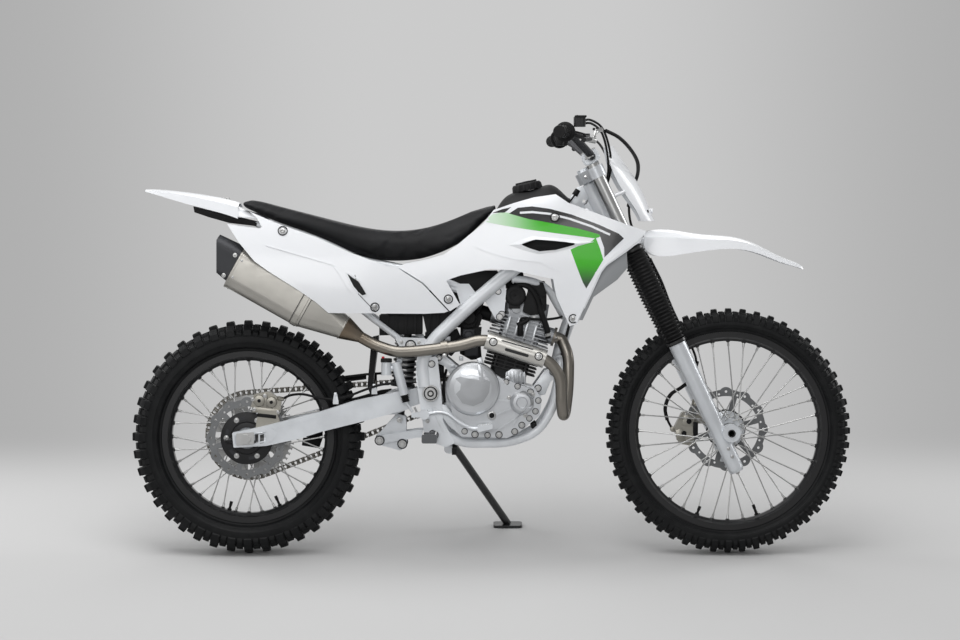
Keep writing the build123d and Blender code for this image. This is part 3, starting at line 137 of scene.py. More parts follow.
def aimed(place: Point, aim: Point) -> Matrix:
    """Gives the matrix of a lamp or camera that looks from one point to another."""
    heading = Vector(aim) - Vector(place)
    return Matrix.Translation(place) @ heading.to_track_quat("-Z", "Y").to_matrix().to_4x4()


def new_node(tree: bpy.types.NodeTree, kind: str, settings: dict | None = None,
        values: dict | None = None) -> bpy.types.Node:
    """Adds a node.

    Args:
        tree: the node tree that takes it.
        kind: the node's type.
        settings: its properties.
        values: a number, vector, colour, socket or Signal for each of its inputs.

    Returns:
        The node.
    """
    made = tree.nodes.new(kind)
    for key, value in (settings or {}).items():
        setattr(made, key, value)
    for key, value in (values or {}).items():
        source = value.socket if isinstance(value, Signal) else value
        if isinstance(source, bpy.types.NodeSocket):
            tree.links.new(source, made.inputs[key])
        else:
            made.inputs[key].default_value = source
    return made


# Shader writing
class Signal:
    """A shader socket that takes part in arithmetic."""

    def __init__(self, graph: Graph, socket: bpy.types.NodeSocket) -> None:
        """Wraps one output socket of a graph."""
        self.graph = graph
        self.socket = socket

    def math(self, operation: str, *values: Signal | float) -> Signal:
        """Gives this operation of a Math node on the values."""
        return self.graph.node("ShaderNodeMath", {"operation": operation}, dict(enumerate(values)))

    def __add__(self, other: Signal | float) -> Signal:
        """Gives the sum."""
        return self.math("ADD", self, other)

    def __radd__(self, other: float) -> Signal:
        """Gives the sum, reflected."""
        return self.math("ADD", other, self)

    def __sub__(self, other: Signal | float) -> Signal:
        """Gives the difference."""
        return self.math("SUBTRACT", self, other)

    def __rsub__(self, other: float) -> Signal:
        """Gives the difference, reflected."""
        return self.math("SUBTRACT", other, self)

    def __mul__(self, other: Signal | float) -> Signal:
        """Gives the product."""
        return self.math("MULTIPLY", self, other)

    def __rmul__(self, other: float) -> Signal:
        """Gives the product, reflected."""
        return self.math("MULTIPLY", other, self)

    def ramp(self, start: float, end: float) -> Signal:
        """Gives a smooth step from 0 at start to 1 at end."""
        return self.graph.node("ShaderNodeMapRange", {"interpolation_type": "SMOOTHSTEP",
            "clamp": True}, {0: self, 1: start, 2: end, 3: 0.0, 4: 1.0})


class Graph:
    """One material's node tree, written as expressions."""

    def __init__(self, name: str) -> None:
        """Starts a material with an empty tree and a Principled shader.

        Args:
            name: the material's name.
        """
        self.material = bpy.data.materials.new(name)
        self.material.use_nodes = True
        self.tree = self.material.node_tree
        self.tree.nodes.clear()
        self.shader = self.tree.nodes.new("ShaderNodeBsdfPrincipled")
        output = self.tree.nodes.new("ShaderNodeOutputMaterial")
        self.tree.links.new(self.shader.outputs[0], output.inputs["Surface"])

    def node(self, kind: str, settings: dict | None = None, values: dict | None = None,
            output: int | str = 0) -> Signal:
        """Adds a node, as new_node does, and gives the chosen one of its outputs."""
        return Signal(self, new_node(self.tree, kind, settings, values).outputs[output])

    def coordinates(self) -> Signal:
        """Gives the shared frame's place, in metres, which stays with its piece."""
        return self.node("ShaderNodeTexCoord", output="Object")

    def parts(self, vector: Signal) -> list[Signal]:
        """Gives a vector's three parts."""
        split = self.node("ShaderNodeSeparateXYZ", None, {0: vector})
        return [Signal(self, output) for output in split.socket.node.outputs]

    def upright(self) -> list[Signal]:
        """Gives the place on the upright bike, in metres, as its three parts."""
        back = (Matrix.Scale(MM, 4) @ stance.matrix.inverted())
        mapped = self.node("ShaderNodeMapping", {"vector_type": "POINT"},
            {"Vector": self.coordinates(), "Rotation": back.to_euler()[:],
            "Location": back.translation[:]})
        return self.parts(mapped)

    def noise(self, scale: float, detail: float = 3.0, stretch: Point = (1, 1, 1),
            roughness: float = 0.5) -> Signal:
        """Gives fractal noise of this many features a metre, stretched along the axes."""
        place = self.node("ShaderNodeMapping", None, {"Vector": self.coordinates(),
            "Scale": tuple(stretch)})
        return self.node("ShaderNodeTexNoise", None, {"Vector": place, "Scale": scale,
            "Detail": detail, "Roughness": roughness})

    def cells(self, scale: float, feature: str) -> Signal:
        """Gives a cell pattern of this many cells a metre."""
        return self.node("ShaderNodeTexVoronoi", {"feature": feature},
            {"Vector": self.coordinates(), "Scale": scale})

    def blend(self, factor: Signal, first: Signal | tuple, second: Signal | tuple) -> Signal:
        """Gives a mix of two colours."""
        def full(colour: Signal | tuple) -> Signal | tuple:
            """Adds the alpha that a plain colour lacks."""
            return colour if isinstance(colour, Signal) else (*colour, 1.0)
        return self.node("ShaderNodeMix", {"data_type": "RGBA"}, {0: factor, 6: full(first),
            7: full(second)}, output=2)

    def bump(self, height: Signal, depth: float) -> Signal:
        """Gives a normal bumped by a height, whose full range is this deep in millimetres."""
        return self.node("ShaderNodeBump", None, {"Height": height, "Distance": depth * MM})

    def glow(self, factor: Signal, level: Signal) -> None:
        """Lets an even grey glow stand in for the surface, as far as the factor says."""
        light = self.node("ShaderNodeEmission", None, {"Color": level, "Strength": 1.0})
        both = self.node("ShaderNodeMixShader", None, {0: factor, 1:
            Signal(self, self.shader.outputs[0]), 2: light})
        output = next(n for n in self.tree.nodes if n.type == "OUTPUT_MATERIAL")
        self.tree.links.new(both.socket, output.inputs["Surface"])

    def feed(self, **sockets: Signal | float | tuple) -> Material:
        """Sets or links the Principled shader's sockets, named with underscores.

        Returns:
            The finished material.
        """
        for key, value in sockets.items():
            socket = self.shader.inputs[key.replace("_", " ")]
            if isinstance(value, Signal):
                self.tree.links.new(value.socket, socket)
            else:
                socket.default_value = (*value, 1.0) if isinstance(value, tuple) else value
        return self.material


# Finishes
@dataclass(frozen=True)
class Plastic:
    """Moulded plastic, glossy or grained, coloured right through."""

    colour: Triple
    gloss: float = 0.7
    grain: float = 0.0

    def make(self, name: str) -> Material:
        """Builds the material."""
        graph = Graph(name)
        cloud = graph.noise(9.0, 2.0)
        scuffs = graph.noise(55.0, 2.0)
        tone = graph.blend(cloud.ramp(0.35, 0.65), tuple(0.985 * c for c in self.colour),
            self.colour)
        base = 1.0 - self.gloss
        roughness = base + 0.03 * (scuffs - 0.5)
        if self.grain:
            pebbles = graph.cells(900.0, "SMOOTH_F1")
            normal = graph.bump(pebbles, self.grain)
        else:
            normal = graph.bump(graph.noise(24.0, 1.0), 0.03)
        return graph.feed(Base_Color=tone, Roughness=roughness, Normal=normal,
            Coat_Weight=0.35 if self.gloss > 0.6 else 0.0, Coat_Roughness=0.08,
            Specular_IOR_Level=0.5 if self.gloss > 0.6 else 0.25)


@dataclass(frozen=True)
class Metal:
    """Bare, plated or anodised metal, brushed or fine cast."""

    colour: Triple
    rough: float = 0.3
    brushed: Point = (1, 1, 1)
    cast: float = 0.0
    metallic: float = 1.0
    coat: float = 0.0

    def make(self, name: str) -> Material:
        """Builds the material."""
        graph = Graph(name)
        streaks = graph.noise(420.0, 3.0, self.brushed)
        cloud = graph.noise(14.0, 3.0)
        tone = graph.blend(cloud.ramp(0.3, 0.7), tuple(0.88 * c for c in self.colour), self.colour)
        roughness = self.rough + 0.16 * (streaks - 0.5) + 0.08 * (cloud - 0.5)
        if self.cast:
            height = graph.noise(1500.0, 4.0, roughness=0.7)
            normal = graph.bump(height, self.cast)
        else:
            normal = graph.bump(streaks, 0.006)
        return graph.feed(Base_Color=tone, Roughness=roughness, Metallic=self.metallic,
            Normal=normal, Coat_Weight=self.coat, Coat_Roughness=0.15)


@dataclass(frozen=True)
class Rubber:
    """Matt moulded rubber with a faint bloom."""

    colour: Triple = (0.022, 0.022, 0.023)
    bloom: Triple = (0.055, 0.055, 0.056)
    rough: float = 0.62

    def make(self, name: str) -> Material:
        """Builds the material."""
        graph = Graph(name)
        cloud = graph.noise(22.0, 5.0, roughness=0.65)
        fine = graph.noise(900.0, 3.0)
        tone = graph.blend(cloud.ramp(0.4, 0.75), self.colour, self.bloom)
        roughness = self.rough + 0.2 * (cloud - 0.5) + 0.06 * (fine - 0.5)
        return graph.feed(Base_Color=tone, Roughness=roughness, Normal=graph.bump(fine, 0.12),
            Specular_IOR_Level=0.17)


@dataclass(frozen=True)
class Vinyl:
    """Grained seat cover with a soft sheen."""

    colour: Triple = (0.007, 0.0072, 0.008)

    def make(self, name: str) -> Material:
        """Builds the material."""
        graph = Graph(name)
        pebbles = graph.cells(620.0, "DISTANCE_TO_EDGE")
        creases = graph.noise(70.0, 4.0)
        cloud = graph.noise(12.0, 3.0)
        tone = graph.blend(cloud.ramp(0.3, 0.7), self.colour, tuple(1.6 * c for c in self.colour))
        height = pebbles.ramp(0.0, 0.25) + 0.8 * creases
        roughness = 0.5 + 0.14 * (cloud - 0.5) - 0.08 * pebbles.ramp(0.05, 0.3)
        return graph.feed(Base_Color=tone, Roughness=roughness, Normal=graph.bump(height, 0.13),
            Specular_IOR_Level=0.17)


@dataclass(frozen=True)
class HeatedSteel:
    """Stainless pipe that heat has turned straw and brown near the engine."""

    colour: Triple = (0.25, 0.232, 0.205)
    straw: Triple = (0.20, 0.155, 0.11)

    def make(self, name: str) -> Material:
        """Builds the material."""
        graph = Graph(name)
        forward, _, _ = graph.upright()
        cloud = graph.noise(30.0, 4.0)
        warmth = (forward + 0.08 * (cloud - 0.5)).ramp(0.42, 0.24)
        tone = graph.blend(warmth, self.colour, self.straw)
        streaks = graph.noise(120.0, 2.0, (1, 1, 1))
        roughness = 0.36 + 0.10 * (streaks - 0.5)
        return graph.feed(Base_Color=tone, Roughness=roughness, Metallic=1.0,
            Normal=graph.bump(streaks, 0.01))


@dataclass(frozen=True)
class Fade:
    """A printed film whose colour fades from one tone to another along the bike."""

    start: Triple
    end: Triple
    low: float
    high: float
    upward: bool = False

    def make(self, name: str) -> Material:
        """Builds the material."""
        graph = Graph(name)
        forward, _, height = graph.upright()
        share = (height if self.upward else forward).ramp(self.low * MM, self.high * MM)
        tone = graph.blend(share, self.start, self.end)
        scuffs = graph.noise(260.0, 4.0, (1, 1, 0.25))
        return graph.feed(Base_Color=tone, Roughness=0.24 + 0.1 * (scuffs - 0.5), Coat_Weight=0.15,
            Coat_Roughness=0.06, Specular_IOR_Level=0.3)


PALETTE = {
    "tyre": Rubber((0.006, 0.0064, 0.007), (0.012, 0.0125, 0.013), 0.5),
    "black_rim": Metal((0.012, 0.012, 0.013), 0.34, metallic=0.3, coat=0.25),
    "bright_steel": Metal((0.55, 0.55, 0.545), 0.31),
    "shield_steel": Metal((0.66, 0.645, 0.61), 0.34, (1, 0.05, 1)),
    "disc_steel": Metal((0.205, 0.21, 0.215), 0.42),
    "silver_steel": Metal((0.14, 0.144, 0.15), 0.38, (1, 0.05, 1)),
    "satin_alloy": Metal((0.69, 0.715, 0.745), 0.36, cast=0.02, metallic=0.5),
    "engine_alloy": Metal((0.62, 0.637, 0.66), 0.32, cast=0.03, metallic=0.72),
    "fin_alloy": Metal((0.36, 0.372, 0.39), 0.36, cast=0.03, metallic=0.8),
    "chain_steel": Metal((0.20, 0.19, 0.17), 0.38),
    "black_rubber": Rubber((0.007, 0.007, 0.0075), (0.013, 0.013, 0.0135), 0.5),
    "black_alloy": Metal((0.016, 0.016, 0.017), 0.45, cast=0.08, metallic=0.4),
    "caliper_alloy": Metal((0.36, 0.345, 0.305), 0.36, cast=0.03, metallic=0.9),
    "frame_paint": Metal((0.78, 0.805, 0.835), 0.38, metallic=0.12, coat=0.3),
    "black_paint": Metal((0.014, 0.014, 0.015), 0.35, metallic=0.1, coat=0.3),
    "black_plastic": Plastic((0.011, 0.011, 0.0115), 0.42, 0.10),
    "header_steel": HeatedSteel(),
    "muffler_alloy": Metal((0.47, 0.455, 0.42), 0.40, (0.06, 1, 0.06), metallic=0.9),
    "dark_alloy": Metal((0.035, 0.036, 0.04), 0.45, cast=0.05, metallic=0.5),
    "seat_vinyl": Vinyl(),
    "white_plastic": Plastic((0.825, 0.84, 0.865), 0.74),
}


class Paints:
    """The materials in use, each made once from the palette."""

    made: dict[str, Material] = {}

    @classmethod
    def of(cls, name: str, finish: object | None = None) -> Material:
        """Gives the material of this name, from the palette unless a finish is named."""
        if name not in cls.made:
            cls.made[name] = (finish or PALETTE[name]).make(name)
        return cls.made[name]


# Mesh writing
class Shape:
    """The mesh of one piece, drawn in millimetres on the upright bike; its parts chain."""

    def __init__(self, at: Matrix | None = None) -> None:
        """Starts an empty mesh; at places what is drawn in a frame of its own."""
        self.mesh = bmesh.new()
        self.at = at or Matrix()

    def add(self, x: float, y: float, z: float) -> bmesh.types.BMVert:
        """Adds a point."""
        return self.mesh.verts.new(self.at @ Vector((x, y, z)))

    def ring(self, centre: Vector, side: Vector, other: Vector, radius: float,
            count: int) -> list[bmesh.types.BMVert]:
        """Adds a circle of points about a centre, in the plane of two directions."""
        return [self.add(*(centre + (side * cos(t) + other * sin(t)) * radius)) for t in
            (2 * pi * i / count for i in range(count))]

    def bridge(self, rings: Sequence[Sequence], closed: bool = False, capped: bool = True) -> None:
        """Joins rings of points into a skin.

        Args:
            rings: the rings in order, of equal length.
            closed: the last ring joins the first.
            capped: the end rings are filled, where it isn't closed.
        """
        pairs = list(zip(rings, rings[1:]))
        if closed:
            pairs.append((rings[-1], rings[0]))
        for one, two in pairs:
            count = len(one)
            for i in range(count):
                j = (i + 1) % count
                self.mesh.faces.new((one[i], one[j], two[j], two[i]))
        if capped and not closed:
            self.mesh.faces.new(list(reversed(rings[0])))
            self.mesh.faces.new(rings[-1])

    def lathe(self, profile: Outline, centre: Point, axis: Point, steps: int = 64) -> Shape:
        """Turns a closed profile of (along, radius) points about an axis through the centre."""
        along, side, other = axes(axis)
        rings = []
        for step in range(steps):
            angle = 2 * pi * step / steps
            out = side * cos(angle) + other * sin(angle)
            rings.append([self.add(*(Vector(centre) + along * a + out * r)) for a, r in profile])
        self.bridge(rings, closed=True)
        return self

    def rod(self, start: Point, end: Point, radius: float, sides: int = 16,
            end_radius: float | None = None) -> Shape:
        """Adds a round rod or cone with flat ends."""
        start, end = Vector(start), Vector(end)
        _, side, other = axes(end - start)
        self.bridge([self.ring(start, side, other, radius, sides),
            self.ring(end, side, other, end_radius or radius, sides)])
        return self

    def tube(self, points: Sequence[Point], radius: float, sides: int = 12,
            step: float = 4.0) -> Shape:
        """Sweeps a round section along a smooth line through the points.

        Args:
            points: the points that the line passes.
            radius: the section's radius.
            sides: corners of the section.
            step: the line's sampling in millimetres.
        """
        line = smooth_line([Vector(p) for p in points], step)
        tangents = line_tangents(line)
        side = tangents[0].orthogonal().normalized()
        rings = []
        for centre, tangent in zip(line, tangents):
            side = (side - tangent * side.dot(tangent)).normalized()
            rings.append(self.ring(centre, side, tangent.cross(side), radius, sides))
        self.bridge(rings)
        return self

    def prism(self, outline: Outline, low: float, high: float, inset: float = 0.0) -> Shape:
        """Adds a plate of this side view between two Y values, its high face drawn in."""
        middle = Vector((sum(p[0] for p in outline), sum(p[1] for p in outline))) / len(outline)
        rings = []
        for y, shrink in ((low, 0.0), (high, inset)):
            ring = []
            for x, z in outline:
                toward = middle - Vector((x, z))
                moved = Vector((x, z)) + toward.normalized() * shrink
                ring.append(self.add(moved.x, y, moved.y))
            rings.append(ring)
        self.bridge(rings)
        return self

    def plates(self, outline: Outline, near: float, far: float) -> Shape:
        """Adds a plate of this side view on both sides, between two distances outwards."""
        for side in SIDES:
            self.prism(outline, side * near, side * far)
        return self

    def block(self, low: Point, high: Point) -> Shape:
        """Adds a box between two corners."""
        (x0, y0, z0), (x1, y1, z1) = low, high
        self.prism([(x0, z0), (x1, z0), (x1, z1), (x0, z1)], y0, y1)
        return self

    def weld(self) -> None:
        """Merges doubled points and turns every face outwards."""
        bmesh.ops.remove_doubles(self.mesh, verts=self.mesh.verts, dist=0.001)
        bmesh.ops.recalc_face_normals(self.mesh, faces=self.mesh.faces)

    def plain(self, name: str) -> Piece:
        """Gives the mesh as it is drawn, for a pattern to repeat."""
        self.weld()
        mesh = bpy.data.meshes.new(name)
        self.mesh.to_mesh(mesh)
        self.mesh.free()
        return linked(name, mesh)

    def finish(self, name: str, slot: str, body: Body = Body.CHASSIS, replaces: Sequence[str] = (),
            bevel: float = 0.0, sharp: float = 35.0, paint: Material | None = None) -> Piece:
        """Places the piece on the parked bike and hands it to its body.

        Args:
            name: the piece's name.
            slot: the record's material slot.
            body: the body that it rides on.
            replaces: the CAD nodes that it stands for.
            bevel: width of its softened edges, in millimetres.
            sharp: edges flatter than this many degrees are shaded smooth.
            paint: its material where it isn't the slot's own.

        Returns:
            The finished object.
        """
        return dress(self.plain(name), slot, body, replaces, bevel, sharp, paint)


def smooth_line(points: list[Vector], step: float) -> list[Vector]:
    """Gives points along a Catmull-Rom line through these ones, about a step apart."""
    if len(points) < 3:
        return points
    line = []
    for i, (b, c) in enumerate(zip(points, points[1:])):
        a = points[i - 1] if i else b * 2 - c
        d = points[i + 2] if i + 2 < len(points) else c * 2 - b
        cuts = max(int(ceil((c - b).length / step)), 1)
        for cut in range(cuts):
            t = cut / cuts
            line.append(0.5 * (2 * b + (c - a) * t + (2 * a - 5 * b + 4 * c - d) * t * t +
                (3 * b - 3 * c + d - a) * t * t * t))
    return line + [points[-1]]


def line_tangents(line: list[Vector]) -> list[Vector]:
    """Gives the direction of a line at each of its points."""
    return [(after - before).normalized() for before, after in zip(line[:1] + line[:-1],
        line[1:] + line[-1:])]


def baked(piece: Piece) -> Piece:
    """Turns a piece's modifiers into plain mesh and removes them."""
    mesh = evaluated(piece)
    piece.modifiers.clear()
    piece.data = mesh
    return piece


def softened(piece: Piece, width: float, segments: int, sharp: float) -> Piece:
    """Rounds the edges that turn by more than this many degrees."""
    edge = piece.modifiers.new("edges", "BEVEL")
    edge.width, edge.segments, edge.limit_method = width, segments, "ANGLE"
    edge.angle_limit = radians(sharp)
    return baked(piece)


def dress(piece: Piece, slot: str, body: Body = Body.CHASSIS, replaces: Sequence[str] = (),
        bevel: float = 0.0, sharp: float = 35.0, paint: Material | None = None) -> Piece:
    """Gives a drawn piece its edges, place, material and body, as Shape.finish says."""
    if bevel:
        softened(piece, bevel, 2, sharp)
    mesh = piece.data
    mesh.transform(stance.matrix)
    mesh.shade_smooth()
    mesh.set_sharp_from_angle(angle=radians(sharp))
    mesh.materials.clear()
    mesh.materials.append(paint or Paints.of(slot))
    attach(piece, body.value)
    if replaces:
        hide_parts(*replaces)
    log.info("%s: %d faces on %s", piece.name, len(mesh.polygons), body.value)
    return piece


# Patterns
class Pattern:
    """A Geometry Nodes tree that repeats a piece, with named inputs for its sizes."""

    kinds = {"Piece": "NodeSocketObject", "Second": "NodeSocketObject", "Count": "NodeSocketInt",
        "Finish": "NodeSocketMaterial"}

    def __init__(self, name: str, inputs: Sequence[str], takes_geometry: bool) -> None:
        """Starts a tree.

        Args:
            name: the tree's name.
            inputs: the named inputs, among those of kinds.
            takes_geometry: the tree reads the mesh or curve of its own object.
        """
        self.tree = bpy.data.node_groups.new(name, "GeometryNodeTree")
        interface = self.tree.interface
        if takes_geometry:
            interface.new_socket("Geometry", in_out="INPUT", socket_type="NodeSocketGeometry")
        self.sockets = {key: interface.new_socket(key, in_out="INPUT", socket_type=self.kinds[key])
            for key in inputs}
        interface.new_socket("Geometry", in_out="OUTPUT", socket_type="NodeSocketGeometry")
        self.entry = self.tree.nodes.new("NodeGroupInput")
        self.exit = self.tree.nodes.new("NodeGroupOutput")

    def node(self, kind: str, settings: dict | None = None, links: dict | None =
            None) -> bpy.types.Node:
        """Adds a node; links gives a value or another socket for each of its inputs."""
        return new_node(self.tree, kind, settings, links)

    def piece(self, key: str) -> bpy.types.NodeSocket:
        """Gives the geometry of the object behind an input."""
        info = self.node("GeometryNodeObjectInfo", {"transform_space": "ORIGINAL"},
            {"Object": self.entry.outputs[key]})
        return info.outputs["Geometry"]

    def close(self, *geometry: bpy.types.NodeSocket) -> None:
        """Ends the tree: joins the geometry, makes it real and gives it the finish."""
        joined = self.tree.nodes.new("GeometryNodeJoinGeometry")
        for socket in geometry:
            self.tree.links.new(socket, joined.inputs[0])
        real = self.node("GeometryNodeRealizeInstances", None, {"Geometry": joined.outputs[0]})
        painted = self.node("GeometryNodeSetMaterial", None, {"Geometry": real.outputs[0],
            "Material": self.entry.outputs["Finish"]})
        self.tree.links.new(painted.outputs[0], self.exit.inputs[0])

    def run(self, carrier: Piece, **values: object) -> Piece:
        """Evaluates the tree on a carrier and gives the plain mesh, its sources removed."""
        modifier = carrier.modifiers.new("pattern", "NODES")
        modifier.node_group = self.tree
        for key, value in values.items():
            modifier[self.sockets[key].identifier] = value
        made = linked(carrier.name, evaluated(carrier))
        sources = {value for value in values.values() if isinstance(value, Piece)}
        for source in (*sources, carrier):
            bpy.data.objects.remove(source)
        return made


@cache
def ring_pattern() -> Pattern:
    """Builds the tree that repeats a piece round the Y axis."""
    pattern = Pattern("ring", ("Piece", "Count", "Finish"), False)
    points = pattern.node("GeometryNodePoints", None, {"Count": pattern.entry.outputs["Count"]})
    index = pattern.node("GeometryNodeInputIndex")
    turn = pattern.node("ShaderNodeMath", {"operation": "DIVIDE"},
        {0: index.outputs[0], 1: pattern.entry.outputs["Count"]})
    full = pattern.node("ShaderNodeMath", {"operation": "MULTIPLY"},
        {0: turn.outputs[0], 1: 2 * pi})
    angles = pattern.node("ShaderNodeCombineXYZ", None, {"Y": full.outputs[0]})
    placed = pattern.node("GeometryNodeInstanceOnPoints", None, {"Points": points.outputs[0],
        "Instance": pattern.piece("Piece"), "Rotation": angles.outputs[0]})
    pattern.close(placed.outputs[0])
    return pattern


@cache
def path_pattern() -> Pattern:
    """Builds the tree that lays two pieces by turns along a closed curve."""
    pattern = Pattern("path", ("Piece", "Second", "Count", "Finish"), True)
    spaced = pattern.node("GeometryNodeCurveToPoints", {"mode": "COUNT"},
        {"Curve": pattern.entry.outputs["Geometry"], "Count": pattern.entry.outputs["Count"]})
    index = pattern.node("GeometryNodeInputIndex")
    odd = pattern.node("ShaderNodeMath", {"operation": "MODULO"}, {0: index.outputs[0], 1: 2.0})
    even = pattern.node("ShaderNodeMath", {"operation": "SUBTRACT"}, {0: 1.0, 1: odd.outputs[0]})
    laid = []
    for key, chosen in (("Piece", even), ("Second", odd)):
        laid.append(pattern.node("GeometryNodeInstanceOnPoints", None,
            {"Points": spaced.outputs["Points"], "Selection": chosen.outputs[0],
            "Instance": pattern.piece(key), "Rotation": spaced.outputs["Rotation"]}).outputs[0])
    pattern.close(*laid)
    return pattern


@cache
def fastener_pattern() -> Pattern:
    """Builds the tree that sets a piece at each point, along its facing and to its size."""
    pattern = Pattern("fasteners", ("Piece", "Finish"), True)
    points = pattern.node("GeometryNodeMeshToPoints", None, {"Mesh":
        pattern.entry.outputs["Geometry"]})
    facing = pattern.node("GeometryNodeInputNamedAttribute", {"data_type": "FLOAT_VECTOR"},
        {"Name": "facing"})
    size = pattern.node("GeometryNodeInputNamedAttribute", {"data_type": "FLOAT"},
        {"Name": "size"})
    turned = pattern.node("FunctionNodeAlignRotationToVector", {"axis": "Z"},
        {"Vector": facing.outputs["Attribute"]})
    placed = pattern.node("GeometryNodeInstanceOnPoints", None, {"Points": points.outputs[0],
        "Instance": pattern.piece("Piece"), "Rotation": turned.outputs[0],
        "Scale": size.outputs["Attribute"]})
    pattern.close(placed.outputs[0])
    return pattern


# Wheels
@dataclass
class Wheel:
    """A laced wheel's tyre with its blocks, its spoke seats and its valve."""

    name: str
    body: Body
    centre: Triple
    radius: float
    width: float
    rim_radius: float
    rim_width: float
    rows: int
    block_height: float
    block_length: float
    stub_angles: tuple[float, float]
    crown_share: float = 0.62
    rim_depth: float = 27.0
    spokes: int = 36

    @property
    def at(self) -> Matrix:
        """Gives the wheel's own frame, with its axle along Y."""
        return Matrix.Translation(self.centre)

    def tip(self, y: float) -> float:
        """Gives the radius of the blocks' tips at this distance from the middle."""
        crown = self.crown_share * self.width
        return self.radius - crown + sqrt(crown ** 2 - y ** 2)

    def carcass(self, y: float) -> float:
        """Gives the radius between the blocks."""
        return self.tip(y) - self.block_height

    def tread_piece(self) -> Piece:
        """Draws one pitch of the tread: a middle row, and half a pitch on the next row."""
        shape = Shape()
        half = self.width / 2
        long = self.block_length
        for side in SIDES:
            self._rib(shape, (side * 1.2, side * 0.17 * self.width), long, 0)
            self._rib(shape, (side * 0.34 * self.width, side * (half - 2)), long, 0, side * 6)
            self._rib(shape, (side * 0.21 * self.width, side * 0.335 * self.width), long * 0.85,
                0.5, sink=0.42 * self.block_height)
            self._rib(shape, (side * 0.40 * self.width, side * (half - 2)), long * 0.7, 0.5,
                side * 4, 0.45 * self.block_height)
        return softened(shape.plain("tread_piece"), 1.1, 1, 40)

    def _rib(self, shape: Shape, span: tuple[float, float], long: float, phase: float,
            flare: float = 0.0, sink: float = 0.0) -> None:
        """Draws one block between two Y values.

        Args:
            shape: the mesh that takes it.
            span: its two edges.
            long: its length round the tyre.
            phase: the share of a pitch by which it is turned.
            flare: how far a shoulder block's outer face leans out, signed as its side.
            sink: how far the block's tip lies below the others.
        """
        inner, outer = span
        turn = Matrix.Rotation(phase * 2 * pi / self.rows, 4, "Y")
        drop = 13.0 if flare else 2.0
        corners = [(inner, self.carcass(inner) - 2), (inner, self.tip(inner) - 0.3 - sink),
            (outer + 0.2 * flare, self.tip(outer) - (1.6 if flare else 0.3) - sink)]
        if flare:
            corners.append((outer + 0.4 * flare, self.tip(outer) - drop - 4))
            corners.append((outer - 0.6 * flare, self.tip(outer) - drop - 14))
        else:
            corners.append((outer, self.carcass(outer) - 2))
        base = min(radius for _, radius in corners)
        rings = []
        for end in (-1, 1):
            ring = []
            for y, radius in corners:
                share = (radius - base) / max(self.radius - base, 1)
                reach = end * (long / 2 - 1.4 * share)
                ring.append(shape.add(*(turn @ Vector((reach, y, radius)))))
            rings.append(ring)
        shape.bridge(rings)

    def tyre(self) -> None:
        """Makes the tyre: a hollow carcass with its raised lines, and its blocks."""
        half = self.width / 2
        bead = self.rim_width / 2 - 3.3
        foot = self.rim_radius
        edge = self.carcass(half - 6)
        wall = [(bead, foot - 11), (bead, foot + 1.5), (bead + 3.5, foot + 2),
            (bead + 5, foot + 7), (half - 9, foot + 12), (half - 7.5, foot + 15),
            (half - 5.5, foot + 15), (half - 2.4, foot + 24), (half - 1.2, (foot + edge) / 2),
            (half - 1, (foot + edge) / 2 + 1.2), (half - 2, edge - 6), (half - 6, edge + 0.5)]
        crown = [(y, self.carcass(y)) for y in [(half - 9) * (1 - 2 * i / 16) for i in range(17)]]
        inside = [(-half + 14, edge - 12), (-half + 14, foot + 22), (-bead + 5, foot + 4),
            (-bead + 7, foot - 10)]
        outer = wall + crown + [(-y, r) for y, r in reversed(wall)]
        roof = [(y, self.radius - 22 - 0.006 * y * y) for y in (-24, 0, 24)]
        inner = list(reversed(inside)) + roof + [(-y, r) for y, r in inside]
        shape = Shape(self.at)
        shape.lathe(outer + inner, (0, 0, 0), (0, 1, 0), 144)
        self._repeat(shape, self.tread_piece(), self.rows, "tyre")
        shape.finish(f"{self.name}_tyre_treaded", "tyre", self.body, [f"{self.name}_tyre"],
            sharp=32)

    def _repeat(self, shape: Shape, piece: Piece, count: int, slot: str) -> None:
        """Adds a piece to a shape this often round the wheel, in the wheel's place."""
        made = ring_pattern().run(Shape().plain("carrier"), Piece=piece, Count=count,
            Finish=Paints.of(slot))
        made.data.transform(self.at)
        shape.mesh.from_mesh(made.data)
        bpy.data.objects.remove(made)

    def spoke_seats(self) -> None:
        """Makes the raised seats of the nipples along the rim's inner face."""
        inner = self.rim_radius - self.rim_depth
        seat = Shape()
        for side, turn in ((-1, 0), (1, 2 * pi / self.spokes)):
            out = Matrix.Rotation(-turn, 3, "Y") @ Vector((1, 0, 0))
            start = out * (inner + 3) + Vector((0, side * 3.5, 0))
            end = out * (inner - 2.6) + Vector((0, side * 4.6, 0))
            seat.rod(start, end, 9.5, 12, 5.2)
        shape = Shape()
        self._repeat(shape, seat.plain("spoke_seat"), self.spokes // 2, "black_rim")
        shape.finish(f"{self.name}_spoke_seats", "black_rim", self.body)

    def stubs(self) -> None:
        """Makes the valve and the rim lock's stud."""
        inner = self.rim_radius - self.rim_depth
        shape = Shape(self.at)
        for angle, tall in zip(self.stub_angles, (30, 24)):
            out = Vector((cos(radians(angle)), 0, sin(radians(angle))))
            shape.rod(out * (inner + 1), out * (inner - 5), 6.5, 6)
            shape.rod(out * (inner - 4), out * (inner - tall), 3.6, 12)
            shape.rod(out * (inner - tall + 11), out * (inner - tall - 1), 4.6, 12)
        shape.finish(f"{self.name}_valve", "black_rubber", self.body, bevel=0.4)

    def make(self) -> None:
        """Makes the wheel's pieces."""
        self.tyre()
        self.spoke_seats()
        self.stubs()


